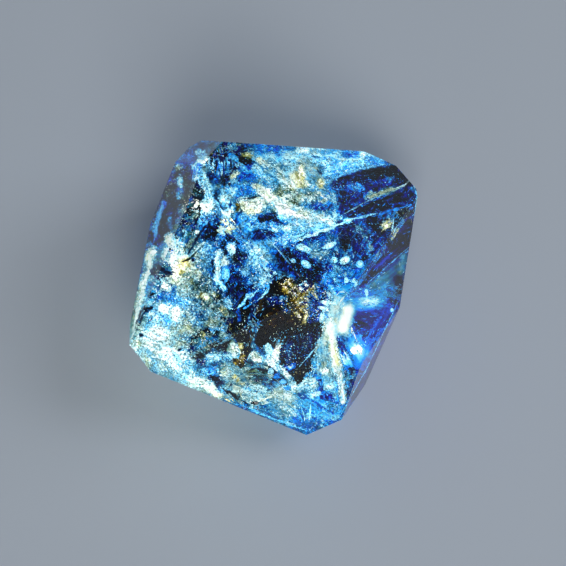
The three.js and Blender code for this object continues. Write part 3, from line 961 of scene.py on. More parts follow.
FILM_ROUGHNESS, FILM_SPECULAR = 0.5, 0.2
FILM_GRAIN = {
    "Scale": 10000, "Detail": 2, "Noise Roughness": 0.6,
    "Low": 0.33, "High": 0.67, "Dark": -0.85, "Light": 1.1,
}
fine_grain = fine_grain_group()
oil_film = film_material()
FILM_STEP, LACE_STEP = 1.0, 0.65
SKIN = 0.25
SMALLEST_PATCH, RIDGE_OVERLAP = 4, 3
CONTRAST, WARMER = 1.03, 0.05
WAVE, WAVE_SIZE, SHALLOWEST = 0.12, 60, 0.12
WARP, WARP_SIZE, LEAST_WARP = 1.6, 9, 0.2
LARGE_DROP, SMALL_DROP, FINE_PATCH, CURL = 5.5, 2.6, 3.5, 8
DRAWN_GRAIN, BEADED_GRAIN, CURLED_GRAIN = 0.21, 0.27, 0.1
WARMTH_PATCH, WARMTH_SPREAD = 7, 0.1
EDGE_PATCH, EDGE_RAGGEDNESS = 24, 0.14
LEAST_CRISP = 0.15


def under_own_face(points, face):
    """Whether a point lies nearer to the broad face that it is seen through than to the others, so
    that sheets seen through two faces meet under the ridge between them."""
    gap = DISTANCES - points @ NORMALS.T
    own = np.take_along_axis(gap, np.maximum(face, 0)[..., None], -1)[..., 0]
    met = (own < gap[..., BROAD_FACES].min(-1) + SKIN) | ~np.isin(face, BROAD_FACES)
    return met & (face >= 0)


def shifted(mask, reach):
    """Copies of a mask on a grid, moved by each whole number of cells up to reach, both ways."""
    padded = np.pad(mask, reach)
    rows, columns = mask.shape
    moves = range(2 * reach + 1)
    return np.array([padded[i:i + rows, j:j + columns] for i in moves for j in moves])


def whole_cells(mask):
    """Which cells of a grid have the mask at all four corners."""
    return mask[:-1, :-1] & mask[:-1, 1:] & mask[1:, 1:] & mask[1:, :-1]


def same_face(face):
    """Which cells of a grid have all four corners seen through one face."""
    level = (face[:-1, :-1] == face[:-1, 1:]) & (face[1:, 1:] == face[1:, :-1])
    return level & (face[:-1, :-1] == face[1:, 1:]) & (face[:-1, :-1] >= 0)


def film_pattern(x, y, beads, toward, seed):
    """The film's grain: drawn out along its stroke where it isn't beaded, round drops where it is,
    fine curls over both, and little of any where it is smooth."""
    spots = 0.5 * drops(x, y, LARGE_DROP, seed + 7) + 1.1 * drops(x, y, SMALL_DROP, seed + 8)
    spots = np.tanh(spots + 0.7 * mottling(x, y, FINE_PATCH, seed + 4, 3, 0.9))
    drawn = np.tanh(1.2 * streaks(x, y, toward, seed + 9))
    grain = DRAWN_GRAIN * (1 - np.abs(beads)) * drawn + BEADED_GRAIN * np.maximum(beads, 0) * spots
    return grain + CURLED_GRAIN * np.maximum(0.4 + beads, 0) * wisps(x, y, CURL, seed + 10)


def veil(name, middle, half, turn, depth, slant, seed, level, dim, gain, step, ridges=False):
    """A veil seen round middle, out to half along and across its turn, as deep as
    depth + slant . (s, t) + a slow wave, kept where light plus grain is over the level."""
    s = np.arange(-half[0], half[0] + step, step)[None, :]
    t = np.arange(-half[1], half[1] + step, step)[:, None]
    cosine, sine = math.cos(math.radians(turn)), math.sin(math.radians(turn))
    x = middle[0] + s * cosine - t * sine
    y = middle[1] + s * sine + t * cosine
    deep = depth + slant[0] * s / half[0] + slant[1] * t / half[1]
    deep = np.maximum(deep + WAVE * depth * mottling(x, y, WAVE_SIZE, seed + 1, 2), SHALLOWEST)
    deep = np.minimum(deep, SHORTEST_PATH_SHARE * path_length(x, y))
    points, face = sight(x, y, deep)
    warp = WARP * np.clip(1 + film_at(x, y)[2], LEAST_WARP, 1)
    warp_x = x + warp * mottling(x, y, WARP_SIZE, seed + 2, 4, 0.8)
    warp_y = y + warp * mottling(x, y, WARP_SIZE, seed + 3, 4, 0.8)
    light, warmth, beads, *toward = film_at(warp_x, warp_y)
    pattern = film_pattern(warp_x, warp_y, beads, toward, seed)
    light = 0.5 + CONTRAST * (light - 0.5) + gain * pattern - dim
    warmth = warmth + WARMER + WARMTH_SPREAD * mottling(x, y, WARMTH_PATCH, seed + 5, 3, 0.8)
    edge = np.hypot(s / half[0], t / half[1])
    edge = edge + EDGE_RAGGEDNESS * mottling(x, y, EDGE_PATCH, seed + 6, 4, 0.7)
    solid = (light > level) & (edge < 1) & (over_bitumen(warp_x, warp_y) < 0) & (face >= 0)
    if ridges:
        solid &= shifted(np.isin(face, NARROW_FACES), RIDGE_OVERLAP).any(0)
    else:
        solid &= ~np.isin(face, NARROW_FACES) & under_own_face(points, face)
    keep = whole_cells(solid) & (ridges | same_face(face))
    keep &= shifted(keep, 1).sum(0) >= SMALLEST_PATCH
    colours = film_colour(light, warmth, deep, GLARE[face])
    crispness = np.clip(1 + 1.2 * np.minimum(beads, 0), LEAST_CRISP, 1)
    colours = np.concatenate([colours, crispness[..., None]], -1)
    piece = link(name, tinted_mesh(name, *sheet(points, colours, keep)), oil_film)
    return piece


# Kinds of veil: the level under which it has gaps, how much it is dimmed, how strong its grain is,
# the step of its grid, and whether it lies under the narrow faces along the ridges.
LACE, VEIL = (0.5, 0.03, 1.2, LACE_STEP), (0.25, 0.05, 1.1, FILM_STEP)
HAZE, RIDGE = (-0.8, 0.11, 0.7, FILM_STEP), (-0.8, 0.03, 1.0, LACE_STEP, True)
# Each veil's name, middle, half sizes, turn in degrees, depth, slant and seed.
CRACK_LEFT = ("crack_film_left", (198, 274), (57, 52), 45, 3.4, (0, 0), 26)
CRACK_RIGHT = ("crack_film_right", (311, 203), (53, 39), 25, 1.67, (0, 0), 27)
VEILS = [
    ("veil_upper_left", (195, 195), (95, 75), -55, 2.2, (0.7, -0.5), 11),
    ("veil_left", (175, 280), (105, 75), -65, 2.4, (-0.8, 0.6), 12),
    ("veil_foot", (185, 365), (105, 70), 30, 2.2, (0.6, 0.7), 13),
    ("veil_centre", (262, 250), (72, 62), 20, 2.6, (0.6, -0.8), 14),
    ("veil_top", (300, 175), (125, 65), 8, 2.0, (-0.7, 0.5), 15),
    ("veil_apex", (390, 205), (75, 70), -25, 2.3, (0.5, 0.9), 16),
    ("veil_side", (370, 320), (110, 62), -65, 2.1, (0.6, 0.5), 17),
    ("veil_tip", (300, 400), (85, 70), 10, 2.3, (-0.6, 0.6), 18),
]
LACES = [
    ("lace_left", (170, 240), (135, 75), -70, 1.2, (0.5, -0.4), 31),
    ("lace_foot", (185, 350), (95, 66), 30, 1.1, (0.4, 0.4), 32),
    ("lace_centre", (265, 245), (75, 60), 30, 1.5, (0.4, -0.5), 33),
    ("lace_top", (310, 180), (110, 60), 8, 1.1, (-0.4, 0.3), 34),
    ("lace_side", (360, 310), (125, 66), -65, 1.2, (0.4, 0.4), 35),
    ("lace_tip", (280, 395), (100, 62), 10, 1.2, (-0.4, 0.4), 36),
]
DEEP_VEILS = [
    ("deep_veil_left", (180, 265), (175, 120), -65, 3.6, (0.9, 0.7), 21),
    ("deep_veil_right", (345, 220), (140, 125), 10, 3.2, (-0.8, 0.8), 22),
    ("deep_veil_side", (375, 310), (90, 60), -65, 2.6, (0.5, 0.4), 24),
    ("deep_veil_edge", (165, 235), (115, 50), -68, 2.4, (0.4, 0.3), 25),
    ("deep_veil_foot", (260, 370), (150, 110), 5, 3.6, (1.0, -0.8), 23),
]
RIDGE_VEILS = [
    ("ridge_veil_upper", (255, 230), (120, 40), 52, 0.2, (0, 0), 51),
    ("ridge_veil_lower", (347, 338), (48, 24), 60, 0.2, (0, 0), 52),
    ("ridge_veil_shoulder", (190, 160), (60, 40), -50, 0.2, (0, 0), 53),
    ("ridge_veil_right", (370, 364), (80, 30), -58, 0.25, (0, 0), 54),
]
crack_left = veil(*CRACK_LEFT, *HAZE)
crack_right = veil(*CRACK_RIGHT, *HAZE)
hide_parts("healed_crack_left")
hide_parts("healed_crack_right")
for rows, kind in ((VEILS, VEIL), (LACES, LACE), (DEEP_VEILS, HAZE), (RIDGE_VEILS, RIDGE)):
    for row in rows:
        veil(*row, *kind)

# Threads and channels: where a crack is seen edge on, or the oil ran in a channel, it shows as a
# crisp line. Each is a narrow, arched strip through its points, drawn out thin at both ends. A few
# rows are painted glints instead: light lines where the crystal's edges catch the light. A row holds
# how light, how warm, its half width, its depth, and its points.
THREADS_AND_GLINTS = [
    (0.6, 0.62, 2.1, 0.7, [(369, 198), (380, 193.5), (392, 189.5), (400, 187)]),
    (0.7, 0.5, 0.7, 0.6, [(390, 190.5), (404.7, 185.5), (411, 178.8)]),
    (0.55, 0.4, 0.7, 0.7, [(342, 215), (368, 200.6), (392.6, 191), (403, 187)]),
    (0.02, 0.3, 2.2, 0.9, [(346, 218), (356, 213), (374.4, 204), (404.7, 192)]),
    (0.9, 0.2, 2.1, 0.6, [(293, 242), (314, 234), (327, 229.7), (344, 221), (357, 218.5)]),
    (0.68, 0.25, 1.0, 0.6, [(350, 220), (364, 216.5), (378, 213)]),
    (0.42, 0.1, 1.2, 0.6, [(374, 216), (395, 209), (414, 204)]),
    (0.8, 0.1, 1.3, 0.7, [(288, 239), (312.6, 229.7), (324.7, 226)]),
    (0.03, 0, 1.5, 0.9, [(291, 245), (312, 236), (330, 231)]),
    (0.62, 0.25, 1.0, 0.7, [(327, 185), (332, 180), (341.7, 175), (356, 170), (386.5, 164)]),
    (0.04, 0.2, 2.4, 0.9, [(335, 183), (345, 178), (360, 173), (386, 167)]),
    (0.55, 0.25, 0.6, 0.5, [(409, 247), (371, 280), (363, 289)]),
    (0.72, 0.4, 0.7, 0.6, [(393.8, 218.8), (391.4, 232)]),
    (0.7, 0.75, 0.7, 0.6, [(381, 232), (386, 226), (390, 219)]),
    (0.7, 0.75, 0.6, 0.6, [(380, 224), (386, 226), (393, 227)]),
    (0.93, 0.22, 1.6, 0.6, [
        (219, 251.6), (217, 259), (218, 269.5), (218, 279), (220, 283), (223.7, 288)]),
    (0.12, 0.35, 1.6, 0.5, [(210.7, 218.6), (199, 234), (193, 247), (187.5, 255)]),
    (0.8, 0.4, 1.2, 0.5, [(205, 241), (198, 248), (191, 255)]),
    (0.1, 0.6, 1.0, 0.5, [(198, 250), (189, 259), (181, 262)]),
    (0.85, 0.2, 0.8, 0.6, [(173.7, 233), (176.3, 250)]),
    (0.8, 0.14, 1.5, 0.6, [(268.5, 288), (264, 295), (257, 301)]),
    (0.82, 0.12, 2.2, 0.6, [(257, 290), (248, 297), (238, 308)]),
    (0.6, 0.08, 1.1, 0.6, [(252, 303), (243, 309)]),
    (0.8, 0.55, 1.0, 0.6, [(238, 404), (251, 406), (266, 401), (281, 391)]),
    (0.03, 0.4, 1.6, 0.4, [(222, 387), (229, 393), (238, 401), (250, 408)]),
    (0.06, 0.3, 1.4, 0.5, [(262, 364), (270, 367), (277, 374), (284, 381), (290, 389)]),
    (0.06, 0.3, 1.0, 0.5, [(241, 374), (256, 368), (270, 371), (279, 380)]),
    # A painted glint: gold light caught on the lower edge.
    (0.85, 1, 1.2, 0.5, [(224, 398), (232, 403)]),
    (0.85, 0.1, 0.9, 0.6, [(311, 404), (309, 422)]),
    (0.7, 0.1, 0.8, 0.6, [(320, 408), (317, 420)]),
    (0.01, 0.3, 3.6, 0.5, [(153, 306), (147, 311), (141, 317), (135, 323)]),
    (0.01, 0.3, 1.4, 0.5, [(147, 296), (155, 293)]),
    (0.01, 0.4, 1.7, 0.5, [(164, 275), (169, 272), (175, 273)]),
    (0.01, 0.4, 1.7, 0.5, [(249.7, 406), (259.5, 406)]),
    (0.8, 0.2, 0.7, 0.8, [(299, 367), (308, 357), (317, 346)]),
    (0.96, 0.25, 0.8, 0.5, [(222, 198), (225, 194), (230, 196), (233, 202)]),
    (0.1, 0.2, 0.7, 0.5, [(228, 205), (230, 202), (233, 205), (232, 208), (229, 208)]),
    (0.05, 0.2, 0.8, 0.5, [(220, 202), (221, 207), (224, 210), (225, 206)]),
    (0.97, 0.3, 0.8, 0.5, [(221, 209), (224, 214), (229, 217), (235, 215)]),
    (0.03, 0.4, 0.9, 0.4, [(241, 199), (250, 198), (258, 197)]),
    (0.25, 0.02, 0.6, 0.4, [(289, 366), (292, 363.6), (295.5, 365), (294.5, 368), (291, 369)]),
    # Painted edge glints: pale lines just inside the outline, where the crystal's edges catch the
    # light.
    (0.7, 0.08, 0.9, 0.15, [(232, 403), (309, 432)]),
    (0.75, 0.08, 0.5, 0.15, [(340, 416), (366, 370), (398, 302)]),
    (0.75, 0.15, 0.7, 0.15, [(411, 179), (417, 195), (413, 230)]),
    (0.55, 0.2, 1.4, 0.3, [(164, 201), (153, 243)]),
    (0.86, 0.5, 2.2, 0.3, [(152.5, 251), (146, 282)]),
    (0.88, 0.45, 1.8, 0.3, [(147, 274), (132.5, 331)]),
]
THREAD_STEP, FEWEST_STEPS, NARROWEST, THREAD_SEED = 0.6, 8, 0.15, 300
THREAD_RAGGEDNESS, RAGGED_PATCH = 0.5, 3.5
THREAD_WANDER, WANDER_PATCH = 0.35, 9
THREAD_BLEND, THREAD_MOTTLE, MOTTLE_PATCH = 0.6, 0.06, 4


def strand(light, warmth, width, deep, corners, seed):
    """Points and colours of one strip through its corners: half width w (1 - (2 s - 1)^2)^0.7 with
    a ragged edge, arched by half of that, and blending into the film's own look at its sides."""
    corners = np.array(corners, float)
    passed = np.r_[0, np.cumsum(np.hypot(*np.diff(corners, axis=0).T))]
    count = max(int(passed[-1] / THREAD_STEP), FEWEST_STEPS)
    along = np.linspace(0, passed[-1], count)
    line = np.stack([np.interp(along, passed, corners[:, k]) for k in (0, 1)], -1)
    heading = np.gradient(line, axis=0)
    heading /= np.hypot(*heading.T)[:, None]
    wander = mottling(line[:, 0], line[:, 1], WANDER_PATCH, seed, 3)[:, None]
    line = line + width * wander * heading[:, ::-1] * (-THREAD_WANDER, THREAD_WANDER)
    half = width * (1 - (2 * along / passed[-1] - 1) ** 2) ** 0.7
    ragged = mottling(line[:, 0], line[:, 1], RAGGED_PATCH, seed + 1, 2)
    half = half * (1 + THREAD_RAGGEDNESS * ragged)
    half = np.maximum(half, NARROWEST)[:, None]
    across = np.linspace(-1, 1, 5)[None, :]
    x = line[:, :1] - heading[:, 1:] * half * across
    y = line[:, 1:] + heading[:, :1] * half * across
    depth = deep + 0.5 * half / POINTS_PER_MM * across ** 2
    depth = np.minimum(depth, SHORTEST_PATH_SHARE * path_length(x, y))
    points, face = sight(x, y, depth)
    film_light, film_warmth = film_at(x, y)[:2]
    share = THREAD_BLEND * np.abs(across) ** 3
    own = light + THREAD_MOTTLE * mottling(x, y, MOTTLE_PATCH, seed + 2, 3)
    shown = (1 - share) * own + share * film_light
    tone = (1 - share) * warmth + share * film_warmth
    return sheet(points, film_colour(shown, tone, depth), same_face(face))


def join(parts):
    """Points, faces and colours of several shapes as one list of each."""
    points, faces, colours, start = [], [], [], 0
    for part_points, part_faces, part_colours in parts:
        points.append(part_points)
        colours.append(part_colours)
        faces += [[start + corner for corner in face] for face in part_faces]
        start += len(part_points)
    return np.vstack(points), faces, np.vstack(colours)


parts = [strand(*row, THREAD_SEED + i) for i, row in enumerate(THREADS_AND_GLINTS)]
threads = link("oil_threads_and_edge_glints", tinted_mesh("oil_threads_and_edge_glints", *join(parts)), oil_film)

# Bubbles: rounded gas bubbles and drops of oil, flattened in their crack. Each row holds its
# place, half sizes, turn in degrees, how light, how warm, and depth.
BUBBLES = [
    (287, 228.5, 5, 3, 0, 0.96, 0.2, 0.6), (275, 229.7, 3.6, 2.8, 0, 0.9, 0.2, 0.6),
    (303, 248, 8, 4, 10, 0.97, 0.2, 0.7), (308, 250, 4, 3, 20, 0.9, 0.15, 0.6),
    (329.5, 245.5, 7, 3, -20, 0.95, 0.2, 0.6), (334.4, 260, 3, 3, 0, 0.9, 0.15, 0.6),
    (345.3, 260, 5.5, 3.5, -30, 0.95, 0.2, 0.6), (360, 263.6, 3.5, 4, 0, 0.9, 0.15, 0.6),
    (306.5, 264.8, 6, 3.5, 35, 0.9, 0.15, 0.6), (293, 261, 2.5, 2.5, 0, 0.9, 0.2, 0.6),
    (275, 272.7, 2, 2, 0, 0.9, 0.2, 0.6), (346.5, 280.6, 2.5, 3, 0, 0.9, 0.15, 0.6),
    (353.8, 280.6, 2.5, 2.5, 0, 0.9, 0.15, 0.6), (366.5, 292.7, 2, 4, 0, 0.9, 0.15, 0.6),
    (358, 350, 5.5, 4, 60, 1.05, 0.4, 0.3), (268.5, 349, 5.5, 3.6, 75, 0.86, 0.2, 0.6),
    (392, 310, 1.8, 1.8, 0, 0.9, 0.1, 0.4), (325, 303, 4.5, 3, 0, 0.95, 0.3, 0.6),
    (328, 309, 2.4, 2.4, 0, 0.95, 0.3, 0.6), (322, 317, 6, 2.4, 100, 0.9, 0.25, 0.6),
    (330, 386, 4, 3, 0, 0.96, 0.25, 0.5), (325.6, 370.6, 3, 3, 0, 0.95, 0.35, 0.5),
    (164, 309, 4, 3.6, 0, 0.97, 0.3, 0.4),
    (176, 313.4, 6, 4, 95, 0.98, 0.35, 0.4), (226, 274, 7, 4, 90, 0.82, 0.08, 0.6),
    (225, 262, 3.4, 2.6, 0, 0.9, 0.4, 0.6), (232, 249, 4, 3, 90, 0.95, 0.25, 0.6),
    (347.7, 221, 4.5, 3.5, 0, 0.9, 0.1, 0.5), (386.5, 226, 3, 2, 50, 0.9, 0.7, 0.5),
    (197, 232, 2.6, 2, 0, 0.95, 0.5, 0.5), (166, 272, 3, 2, 0, 0.02, 0.3, 0.4),
    (169, 273, 4, 2.4, 20, 0.02, 0.3, 0.4), (136, 320, 2.4, 2.4, 0, 0.01, 0.3, 0.4),
    (141, 335, 2.4, 2, 0, 0.01, 0.3, 0.4), (193, 259.6, 2, 2, 0, 0.02, 0.2, 0.4),
    (160, 267.7, 2, 2, 0, 0.03, 0.2, 0.4), (180, 350, 2.5, 2, 0, 0.04, 0.3, 0.4),
    (271, 371, 3, 3, 0, 0.75, 0.3, 0.5), (277, 376, 3.2, 2.6, 0, 0.4, 0.1, 0.5),
    (283, 381, 3.4, 2.6, 20, 0.66, 0.2, 0.5), (288, 388, 3, 2.4, 0, 0.5, 0.1, 0.5),
]
BUBBLE_RINGS, BUBBLE_SECTORS, BUBBLE_SEED = 9, 18, 91
BUBBLE_THICKNESS, RIM_LIGHT = 0.5, 0.45
MEAN_SWELL, DENT_DEPTH, DENT_PACE, DENT_SHADE = 0.93, 0.22, 3.4, 0.09
NUDGE = 0.2


def spheroid(rings, sectors):
    """Directions and faces of a closed ball: a pole, rings of points round the axis, a pole."""
    lean = np.linspace(0, math.pi, rings + 2)[1:-1, None]
    turn = np.linspace(0, 2 * math.pi, sectors, endpoint=False)[None, :]
    around = np.stack(
        [np.cos(lean) + 0 * turn, np.sin(lean) * np.cos(turn), np.sin(lean) * np.sin(turn)], -1)
    points = np.vstack([[(1, 0, 0)], around.reshape(-1, 3), [(-1, 0, 0)]])
    ring = 1 + np.arange(sectors)
    after = 1 + (np.arange(sectors) + 1) % sectors
    last = (rings - 1) * sectors
    faces = [np.stack([0 * ring, ring, after], 1).tolist()]
    for row in range(rings - 1):
        near, far = row * sectors, (row + 1) * sectors
        faces.append(np.stack([near + ring, far + ring, far + after, near + after], 1).tolist())
    faces.append(np.stack([last + ring, 0 * ring + len(points) - 1, last + after], 1).tolist())
    return points, sum(faces, [])


def stamped(name, rings, sectors, middles, axes, colours, swell=1.0):
    """Closed balls, one stretched along each set of three axes about its own middle. Colours are
    one for each ball, or one for each of its points, and so is how far the points swell out."""
    directions, faces = spheroid(rings, sectors)
    shape = np.einsum("pk,nkj->npj", directions, axes) * np.asarray(swell)[..., None]
    points = middles[:, None] + shape
    step = len(directions) * np.arange(len(middles))[:, None, None]
    stacked = []
    for sides in (3, 4):
        like = [face for face in faces if len(face) == sides]
        if like:
            stacked += (step + np.array(like)).reshape(-1, sides).tolist()
    tints = colours[:, None] if colours.ndim == 2 else colours
    tints = np.broadcast_to(tints, points.shape)
    return tinted_mesh(name, points.reshape(-1, 3), stacked, tints.reshape(-1, 3))


def bubbles(name, rows):
    """Dented balls, stretched along the crack to their half sizes and flattened through it: r = mean
    + dents sin(k . n + phase), k drawn for each ball. Painted shading makes them lighter at the
      middle,
    where they face the eye, than at the rim, and lighter and darker across the dents."""
    x, y, length, width, turns, light, warmth, deep = np.array(rows, float).T
    angle = np.radians(turns)
    middles = sight(x, y, deep)[0]
    ahead = sight(x + NUDGE * np.cos(angle), y + NUDGE * np.sin(angle), deep)[0] - middles
    aside = sight(x - NUDGE * np.sin(angle), y + NUDGE * np.cos(angle), deep)[0] - middles
    ahead, aside = ahead * length[:, None] / NUDGE, aside * width[:, None] / NUDGE
    through = np.cross(ahead, aside)
    through /= np.linalg.norm(through, axis=1)[:, None]
    thickness = BUBBLE_THICKNESS * np.minimum(length, width) / POINTS_PER_MM
    axes = np.stack([ahead, aside, through * thickness[:, None]], 1)
    directions = spheroid(BUBBLE_RINGS, BUBBLE_SECTORS)[0]
    # Painted shading: lighter where a ball faces the eye, nearer the film's own light at its rim.
    facing = np.abs(directions[:, 2])
    rim = RIM_LIGHT * light + (1 - RIM_LIGHT) * film_at(x, y)[0]
    shown = rim[:, None] + (light - rim)[:, None] * facing
    random = np.random.default_rng(BUBBLE_SEED)
    waves = random.normal(0, DENT_PACE, (len(x), 3)) @ directions.T
    swell = MEAN_SWELL + DENT_DEPTH * np.sin(waves + random.uniform(0, 7, len(x))[:, None])
    # Painted shading over the dents.
    shown = shown + DENT_SHADE * np.sin(2 * waves)
    colours = film_colour(shown, warmth[:, None] + 0 * shown, deep[:, None] + 0 * shown)
    mesh = stamped(name, BUBBLE_RINGS, BUBBLE_SECTORS, middles, axes, colours, swell)
    piece = link(name, mesh, oil_film)


bubbles("gas_bubbles", BUBBLES)

# Bitumen: brown-black solid hydrocarbon, left in its pockets as the oil dried out. A lump with a
# pointed tongue, and a thin vein beside it, cracked and glossy, in a painted glow from dark brown
# to golden brown.
LUMP = ((-1.25, -3.7, 4.3), (-1.1, -2.4, -5.3), (2.3, 1.85, 0.85))
TONGUE = ((-1.95, -4.75, 1.9), (-0.6, -1.2, -3.0), (1.8, 0.95, 0.65))
VEIN = ((-3.6, -2.2, 3.5), (-1.2, -1.2, -2.8), (2.3, 0.45, 0.4))
ACROSS = np.array([0.788, -0.616, 0])
RELIEF_PACES = np.array([(4.1, 2.3, 0), (0, 5.3, -3.7), (2.9, 0, 6.1)])
RELIEF, RUGGEDNESS = 0.1, 0.07
# Shares and paces of the relief, from coarse to fine.
CREASES, FINE_CREASES, GRIT = (0.6, 9), (0.4, 22), (0.25, 50)
BODY_LIGHT, CREASE_LIGHT, PATCH_LIGHT, PATCH_PACE, BODY_WARMTH = 0.08, 0.1, 0.15, 5, 0.95
BITUMEN_ROUGHNESS, BITUMEN_SPECULAR = 0.35, 0.15
PIT_DEPTH, PIT_STRENGTH = 0.02 * MM, 0.6
PITS = {
    "Crispness": 1, "Scale": 5000, "Detail": 4, "Noise Roughness": 0.65,
    "Low": 0.35, "High": 0.65, "Dark": -0.8, "Light": 0.8,
}
CRUST_GAP, CRUST_RISE, CRUST_OVERHANG = 0.1, 0.12, 1.5
CRUST_WARP, CRUST_WARP_SIZE, CRUST_DROP, CRUST_PATCH = 1.5, 8, 4, 3
CRUST_CONTRAST, CRUST_GLINT = 0.8, 0.05
# Middle and half sizes of the stretch of the view that each crust covers.
LUMP_VIEW, VEIN_VIEW = ((292, 331), (40, 56)), ((242, 336), (15, 40))
# The crust's bare look, and strokes over it as for the film.
BARE_CRUST = (0.02, 0.4, 0.25)
BITUMEN_STROKES = [
    (276, 300, 300, 306, 30, 0.02, 0.7, 0.1),
    (270, 326, 292, 312, 12, 0.11, 1, 0),
    (282, 286, 290, 286, 5, 0.16, 0.95, 0.7),
    (286, 292, 292, 296, 4, 0.12, 0.95, 0.4),
    (306, 288, 320, 298, 10, 0.05, 0.03, 0.7),
    (272, 300, 284, 303, 6, 0.12, 0.06, 1),
    (281, 299, 286, 300, 2.6, 0.4, 0.3, 1),
    (311, 318, 318, 306, 5, 0.22, 0.02, 1),
    (313, 314, 318, 307, 2.4, 0.5, 0.04, 0.6),
    (284, 290, 288, 292, 2.4, 0.45, 1, 0.6),
    (287, 282, 290, 285, 2.4, 0.75, 0.85, 0.4),
    (296, 286, 300, 289, 2.4, 0.85, 0.85, 0.4),
    (303, 292, 306, 298, 2.4, 0.4, 1, 0.8),
    (301, 302, 296, 312, 3.4, 0.28, 1, 0.8),
    (306, 300, 308, 308, 2.2, 0.66, 0.95, 0.5),
    (306, 310, 303, 322, 2.2, 0.62, 0.92, 0.5),
    (310, 296, 318, 296, 5, 0.03, 0.2, 0.5),
    (312, 306, 316, 316, 5, 0.22, 0.02, 0.9),
    (299, 294, 302, 306, 2, 0.4, 1, 0.4),
    (295, 313, 297, 317, 1.8, 0.8, 0.75, 0.2),
    (290, 322, 300, 328, 4, 0.1, 1, 0.5),
    (282, 336, 318, 334, 8, 0.02, 0.3, 0.9),
    (286, 352, 312, 342, 11, 0.05, 0.05, 0.8),
    (288, 364, 304, 358, 10, 0.03, 0.06, 0.8),
    (288, 347, 289, 358, 2.6, 0.2, 0.25, 1),
    (290, 367, 295, 365, 3, 0.3, 0, 0.4),
    (291, 366, 293, 366, 1.3, 0.7, 0.1, 0.2),
    (303, 350, 308, 340, 3, 0.14, 0.3, 1),
    (297, 376, 300, 370, 4, 0.05, 0.8, 0.8),
    (247, 306, 243, 338, 6, 0.03, 0.6, 0.7),
    (238, 310, 240, 322, 1.8, 0.2, 0.04, 0.4),
    (250, 350, 234, 366, 6, 0.05, 0.75, 0.9),
    (242, 356, 234, 366, 2.4, 0.3, 1, 0.8),
    (240, 345, 240, 351, 1.8, 0.8, 0.92, 0.3),
    (244, 356, 243, 363, 2, 0.42, 0.95, 0.6),
]


def body_axes(along):
    """Axes of a lump: along it, across it in the level of the crack, and through it."""
    along = np.array(along) / np.linalg.norm(along)
    across = ACROSS - along * (ACROSS @ along)
    across /= np.linalg.norm(across)
    return np.array([along, across, np.cross(along, across)])


def ripples(directions, pace, seed, count=10):
    """Random relief on a sphere from about -1 to 1: the mean of waves that run in random directions
    at about the pace, sin(p k . n + phase)."""
    random = np.random.default_rng(seed)
    waves = random.normal(size=(count, 3))
    waves *= pace * random.uniform(0.7, 1.3, (count, 1)) / np.linalg.norm(waves, axis=1)[:, None]
    return np.sin(directions @ waves.T + random.uniform(0, 7, count)).sum(-1) / math.sqrt(count / 2)


def creased(directions, share, pace, seed):
    """Relief whose slopes meet in sharp creases: share (1 - 2 |ripples|)."""
    return share * (1 - 2 * np.abs(ripples(directions, pace, seed)))


def lump(body, seed, rings=90, sectors=130):
    """A rugged ball stretched to its half sizes: r = 1 + relief + ruggedness (creases - 1)."""
    centre, along, half = body
    axes = body_axes(along)
    directions, faces = spheroid(rings, sectors)
    swell = 1 + RELIEF * np.sin(directions @ RELIEF_PACES.T).mean(-1)
    creases = creased(directions, *CREASES, seed) + creased(directions, *FINE_CREASES, seed + 1)
    creases += GRIT[0] * ripples(directions, GRIT[1], seed + 2)
    swell += RUGGEDNESS * (creases - 1)
    points = centre + (directions * swell[:, None] * half) @ axes
    patches = np.clip(ripples(directions, PATCH_PACE, seed + 3), 0, 1)
    # Painted light: lighter on the sharp ridges of the relief, darker in the hollows between.
    light = BODY_LIGHT + CREASE_LIGHT * np.clip(creases, 0, 1) + PATCH_LIGHT * patches
    colours = film_colour(light, BODY_WARMTH + 0 * light, 1 + 0 * light)
    return points, faces, colours


def bitumen_material():
    """Waxy, glossy bitumen: the tint of its mesh, finely pitted, with a painted glow in that tint."""
    material, nodes, links, surface, _, pits = grained_material(
        "waxy_bitumen", BITUMEN_ROUGHNESS, BITUMEN_SPECULAR, PITS)
    bump = add_node(nodes, "Bump", {"Strength": PIT_STRENGTH, "Distance": PIT_DEPTH})
    links.new(pits.outputs["Noise"], bump.inputs["Height"])
    links.new(bump.outputs["Normal"], surface.inputs["Normal"])
    return material


def bitumen_body(name, parts, node):
    """One closed piece of bitumen made of lumps, in the place of a CAD node."""
    body = link(name, tinted_mesh(name, *join(parts)), waxy_bitumen)
    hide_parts(node)


def first_met(x, y, body):
    """Depth at which each sight line meets a body's plain ball, or passes nearest to its middle:
    the smaller root of |o + d t|^2 = 1 in the ball's own axes, its discriminant kept from below 0."""
    centre, along, half = body
    axes = body_axes(along)
    start = sight(x, y, 0)[0]
    ray = sight(x, y, 1)[0] - start
    origin = ((start - centre) @ axes.T) / half
    run = (ray @ axes.T) / half
    a, b, c = (run ** 2).sum(-1), (origin * run).sum(-1), (origin ** 2).sum(-1) - 1
    return (-b - np.sqrt(np.maximum(b * b - a * c, 0))) / a


